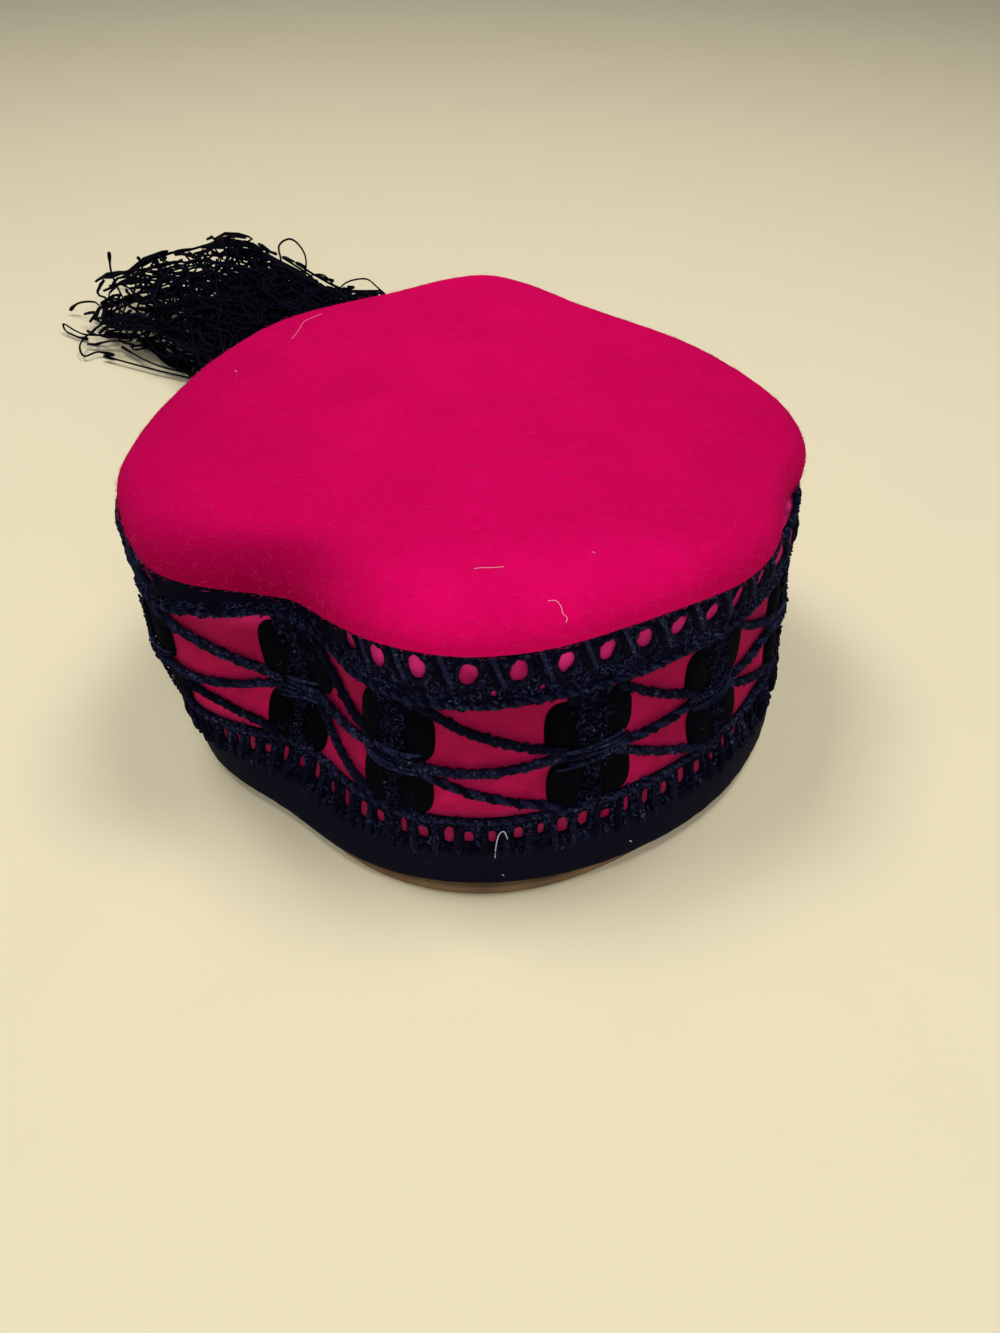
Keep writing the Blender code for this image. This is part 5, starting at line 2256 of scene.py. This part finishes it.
@dataclass
class Tassel:
    """Long thread tassel: wound head on the back of the wall, and threads that end in a tangled heap.

    Reaches are how far the heap goes from the head in each direction, in degrees. The edges are where the
    photograph shows the heap end, in pixels: the upper and the lower one by x, and the left one by y. Curls
    are how many waves a thread has and how wide they are.
    """

    view: PhotoView
    azimuth: float = 97.0
    head_z: float = 48.0 * MM
    head_height: float = 18.0 * MM
    head_radius: float = 7.5 * MM
    neck_radius: float = 5.4 * MM
    head_turns: int = 26
    turn_steps: int = 22
    loop_rise: float = 3.0 * MM
    loop_half: float = 1.1 * MM
    twist: float = 3.0 * MM
    flute: float = 0.15
    thread: float = 0.56 * MM
    steps: int = 58
    reaches: tuple[tuple[float, float], ...] = (
        (105, 0.170), (110, 0.190), (114, 0.212), (119, 0.250), (124, 0.262), (129, 0.262), (134, 0.262),
        (140, 0.258), (144, 0.246), (148, 0.215), (152, 0.160),
    )
    upper_edge: tuple[tuple[float, float], ...] = (
        (60, 345), (84, 318), (99, 299), (105, 290), (114, 286), (136, 282), (150, 273), (161, 266),
        (183, 259), (211, 253), (228, 245), (242, 242), (256, 245), (275, 261), (300, 274), (328, 290),
        (352, 300), (420, 285),
    )
    left_edge: tuple[tuple[float, float], ...] = (
        (286, 112), (300, 100), (315, 97), (330, 91), (342, 84), (352, 80), (360, 88),
    )
    lower_edge: tuple[tuple[float, float], ...] = (
        (80, 355), (105, 360), (133, 366), (162, 373), (190, 384), (230, 450),
    )
    frayed_px: float = 7.0
    tries: int = 40
    curls: tuple[tuple[float, float], ...] = ((1.4, 6.5 * MM), (4.0, 6.0 * MM), (8.5, 3.6 * MM))
    straight_from: float = 140.0
    straight_over: float = 6.0
    ripple: float = 1.2 * MM
    clearance: float = 0.4 * MM
    fall: float = 0.075
    free_end: float = 6.0 * MM
    heap_heading: float = 128.0
    heap_middle: float = 0.172
    heap_half: tuple[float, float] = (0.120, 0.072)
    heap_height: float = 32.0 * MM
    seed: int = 17

    def head_place(self) -> Vector:
        """Middle of the head, read from the frame's solid.

        Returns:
            The place.
        """
        corners = coordinates(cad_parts["tassel"].data)
        head = corners[corners[:, 2] > self.head_z]
        middle = (head.min(0) + head.max(0)) / 2
        return Vector((middle[0], middle[1], self.head_z))

    def crest(self, x: np.ndarray, y: np.ndarray) -> np.ndarray:
        """Height of the heap over places given from the head's middle.

        Args:
            x: their distances along X.
            y: their distances along Y.

        Returns:
            One height for each place.
        """
        turn = math.radians(self.heap_heading)
        along = x * math.cos(turn) + y * math.sin(turn) - self.heap_middle
        across = y * math.cos(turn) - x * math.sin(turn)
        share = (along / self.heap_half[0]) ** 2 + (across / self.heap_half[1]) ** 2
        return self.heap_height * np.clip(1 - share, 0, 1) ** 0.6

    def room(self, places: np.ndarray) -> np.ndarray:
        """Heights to which a thread may rise under the heap's upper edge.

        Args:
            places: places on the table, one in each row.

        Returns:
            One height for each place.
        """
        seen = self.view.pixels(places)
        step = 10.0 * MM
        raised = self.view.pixels(places + np.array((0.0, 0.0, step)))
        edge = np.interp(seen[:, 0], *zip(*self.upper_edge))
        return (seen[:, 1] - edge) / (seen[:, 1] - raised[:, 1]) * step

    def keeps_in(self, path: np.ndarray, slack: float) -> bool:
        """Whether a path's outer part is seen inside the heap's edges.

        Args:
            path: the thread's points.
            slack: how many pixels it may be seen past them.

        Returns:
            True where it is.
        """
        table = path[len(path) // 3:] * (1.0, 1.0, 0.0)
        x, y = self.view.pixels(table).T
        above = y - np.interp(x, *zip(*self.upper_edge))
        below = np.interp(x, *zip(*self.lower_edge)) - y
        beside = x - np.interp(y, *zip(*self.left_edge))
        return min(above.min(), below.min(), beside.min()) > -slack

    def kept_path(self, lay: Lay, place: np.ndarray, random: np.random.Generator) -> np.ndarray:
        """Middle line of one thread, drawn anew until it keeps inside the heap that the photograph shows.

        Args:
            lay: how it lies.
            place: the head's middle.
            random: source of its irregularity.

        Returns:
            Its points.
        """
        slack = self.frayed_px if lay is Lay.LOOSE else 0.0
        path = self.thread_path(lay, place, random)
        for _ in range(self.tries):
            if self.keeps_in(path, slack):
                break
            path = self.thread_path(lay, place, random)
        return path

    def thread_path(self, lay: Lay, place: np.ndarray, random: np.random.Generator) -> np.ndarray:
        """Middle line of one thread.

        Args:
            lay: how it lies.
            place: the head's middle.
            random: source of its irregularity.

        Returns:
            Its points.
        """
        habit = HABITS[lay]
        bearings, limits = zip(*self.reaches)
        heading = random.uniform(bearings[0], bearings[-1])
        share = blend(*habit.reach, random.random() ** 0.7)
        reach = float(np.interp(heading, bearings, limits)) * share
        t = np.linspace(0, 1, self.steps)
        out = reach * t
        fallen = eased(out / self.fall)
        root, turn = np.radians((self.azimuth, heading))
        way = blend(root, turn, fallen)
        x, y = out * np.cos(way), out * np.sin(way)
        loose = habit.curl * eased((out - 0.4 * self.fall) / self.fall)
        straight = eased(np.full(self.steps, (heading - self.straight_from) / self.straight_over))
        loose = loose * (1 - 0.6 * straight)
        for waves, size in self.curls:
            for axis in (x, y):
                phase = 2 * math.pi * (waves * random.uniform(0.7, 1.35) * t + random.random())
                axis += size * loose * np.sin(phase)
        ground = self.thread * habit.thickness + self.clearance - place[2]
        lowest, highest = habit.height
        layer = blend(highest, lowest, random.random() ** 1.4)
        ripple = self.ripple * (1 + np.sin(2 * math.pi * (random.uniform(3.0, 6.0) * t + random.random())))
        below = np.column_stack((x + place[0], y + place[1], np.zeros(self.steps)))
        lift = np.clip(self.room(below), 0.0, self.crest(x, y) * layer + ripple)
        if lay is Lay.LOOSE:
            lift = lift + self.free_end * random.random() * eased((t - 0.8) / 0.2)
        z = -0.45 * self.head_height * (1 - fallen) + (ground + lift) * fallen
        start = random.normal(0, 0.36, 2) * self.neck_radius
        held = 1 - fallen
        return np.column_stack((x + start[0] * held, y + start[1] * held, z)) + place

    def knotted(self, count: int, thickness: float, random: np.random.Generator) -> np.ndarray:
        """Radius of a thread along its length, thicker at its knotted end.

        Args:
            count: number of its points.
            thickness: how much thicker than a plain thread it is.
            random: source of its irregularity.

        Returns:
            One radius for each point.
        """
        t = np.linspace(0, 1, count)
        knot = np.exp(-((t - random.uniform(0.965, 0.985)) / 0.016) ** 2)
        return self.thread * (thickness + 0.95 * knot * random.uniform(0.5, 1.0))

    def stray_path(self, stray: Stray) -> np.ndarray:
        """Points of a stray thread, where its pixels meet its heights.

        Args:
            stray: the thread.

        Returns:
            Its points.
        """
        eye = np.array(self.view.place())
        spots = []
        for pixel, height in zip(stray.pixels, stray.heights_mm):
            way = np.array(self.view.direction(*pixel))
            spots.append(eye + way * (height * MM + self.thread - eye[2]) / way[2])
        return open_curve(np.array(spots), 9 * len(spots))

    def build_threads(self, place: Vector, finish: bpy.types.Material) -> None:
        """Make the threads, in two pieces.

        Args:
            place: the head's middle.
            finish: their material.
        """
        random = np.random.default_rng(self.seed)
        pile = [Strands(4, seed=self.seed + index) for index in range(2)]
        origin = np.array(place)
        number = 0
        for lay, habit in HABITS.items():
            for _ in range(habit.count):
                path = self.kept_path(lay, origin, random)
                pile[number % 2].add(path, self.knotted(len(path), habit.thickness, random))
                number += 1
        for stray in STRAYS:
            path = self.stray_path(stray)
            LOG.debug("stray %s: %d points", stray.name, len(path))
            t = np.linspace(0, 1, len(path))
            knot = 0.9 * np.exp(-((t - 0.95) / 0.06) ** 2)
            pile[1].add(path, self.thread * (0.95 + knot))
        add_piece("tassel_threads", pile[0].mesh("threads"), finish, "tassel")
        add_piece("tassel_threads_over", pile[1].mesh("threads"), finish)

    def build_head(self, place: Vector, finish: bpy.types.Material) -> None:
        """Make the wound head and the short loop that sews it to the lace.

        Args:
            place: the head's middle.
            finish: their material.
        """
        wound = Strands(6, seed=self.seed + 4)
        middle = np.array(place)
        t = np.linspace(0, 1, self.head_turns * self.turn_steps)
        z = self.head_height * (0.47 - 0.97 * t)
        swell = np.sin(math.pi * np.clip(t * 1.5, 0, 1))
        belly = blend(self.neck_radius, self.head_radius, swell)
        crown = np.sqrt(np.clip(t / 0.16, 0.0, 1.0))
        radius = belly * (0.18 + 0.82 * crown) - self.thread
        angle = 2 * math.pi * self.head_turns * t
        path = np.column_stack((radius * np.cos(angle), radius * np.sin(angle), z)) + middle
        wound.add(path, self.thread * 0.95, twist=self.twist, flute=self.flute, tone=0.85)
        t = np.linspace(0, 1, 12)
        fill = np.column_stack((0 * t, 0 * t, self.head_height * (0.42 - 0.9 * t)))
        wound.add(fill + middle, (self.neck_radius - 1.2 * MM) * np.sin(math.pi * (0.12 + 0.76 * t)))
        azimuth = math.radians(self.azimuth)
        inward = -np.array((math.cos(azimuth), math.sin(azimuth), 0.0))
        t = np.linspace(0, 1, 14)
        bend = np.sin(math.pi * t)
        rise = np.column_stack((0 * t, 0 * t, self.head_height * 0.44 + self.loop_rise * bend))
        for side in (-1.0, 1.0):
            aside = np.column_stack((side * self.loop_half * bend, 0 * t, 0 * t))
            loop = middle + rise + inward * (self.head_radius + self.clearance) * t[:, None] + aside
            wound.add(loop, self.thread * 0.9, twist=self.twist, flute=self.flute)
        add_piece("tassel_head", wound.mesh("head"), finish)

    def build(self, groups: ShaderGroups) -> None:
        """Make the tassel.

        Args:
            groups: the shared shader groups.
        """
        finish = TASSEL_THREAD.build(groups)
        place = self.head_place()
        self.build_threads(place, finish)
        self.build_head(place, finish)


@dataclass(frozen=True)
class Lint:
    """One fibre or speck caught on the cap, drawn through pixels of the photograph."""

    name: str
    pixels: tuple[tuple[float, float], ...]
    radius: float = 0.07 * MM


FELT_LINTS = (
    Lint("straight_fibre", ((474, 569), (482, 568), (492, 568), (504, 567))),
    Lint("hooked_fibre", ((548, 601), (556, 601), (561, 607), (563, 614), (567, 618), (566, 623))),
    Lint("long_fibre", ((292, 339), (299, 330), (304, 322), (312, 318), (322, 314)), 0.05 * MM),
    Lint("speck", ((235, 371), (237, 372)), 0.09 * MM),
    Lint("low_speck", ((592, 552), (595, 553)), 0.06 * MM),
)
RIBBON_LINTS = (
    Lint("hook", ((495, 857), (496, 845), (499, 834), (504, 831), (507, 838), (506, 842)), 0.16 * MM),
    Lint("speck", ((502, 874), (504, 875)), 0.14 * MM),
    Lint("right_speck", ((629, 840), (631, 841)), 0.14 * MM),
)


@dataclass
class LintScatter:
    """Pale fibres caught on one piece of the cap."""

    name: str
    lints: tuple[Lint, ...]
    finish: PlainFinish
    view: PhotoView
    view_range: float = 2.0

    def build(self, *targets: BVHTree) -> None:
        """Lay each fibre where its pixels first meet the targets.

        Args:
            targets: search trees of what it lies on.
        """
        strands = Strands(5, seed=2)
        eye = self.view.place()
        for lint in self.lints:
            spots = []
            for pixel in lint.pixels:
                way = self.view.direction(*pixel)
                struck = [target.ray_cast(eye, way, self.view_range) for target in targets]
                hits = [hit for hit in struck if hit[0] is not None]
                if hits:
                    place, normal = min(hits, key=lambda hit: hit[3])[:2]
                    spots.append(np.array(place + normal * 1.5 * lint.radius))
            LOG.debug("%s: %d of %d pixels meet the cap", lint.name, len(spots), len(lint.pixels))
            if len(spots) > 1:
                strands.add(open_curve(np.array(spots), 6 * len(spots)), lint.radius, tone=0.5)
        add_piece(self.name, strands.mesh("lint"), self.finish.build())


def main() -> None:
    """Build the dressed cap, its floor, lights and camera."""
    logging.basicConfig(level=logging.INFO, format="%(message)s")
    bpy.context.scene.view_settings.view_transform = "Standard"
    view = PhotoView()
    view.build()
    Studio().build()
    groups = ShaderGroups()
    lace = LaceBand()
    wall = lace.wall
    LOG.info("wall is %.1f mm round at the waist", wall.length / MM)
    crown = FeltCrown()
    ClothWall().build(wall, crown, groups)
    lace.build(groups)
    ribbon = RimRibbon().build(wall, groups)
    LeatherBand().build(wall)
    felt = crown.build(groups)
    pink = PlainFinish("pale_lint_on_felt", "magenta_felt", (0.86, 0.52, 0.62), 0.9)
    grey = PlainFinish("pale_lint_on_ribbon", "navy_ribbon", (0.62, 0.64, 0.70), 0.9)
    LintScatter("felt_lint", FELT_LINTS, pink, view).build(felt)
    LintScatter("ribbon_lint", RIBBON_LINTS, grey, view).build(ribbon, tree_of("lace_band"))
    Tassel(view).build(groups)


if __name__ == "__main__":
    main()
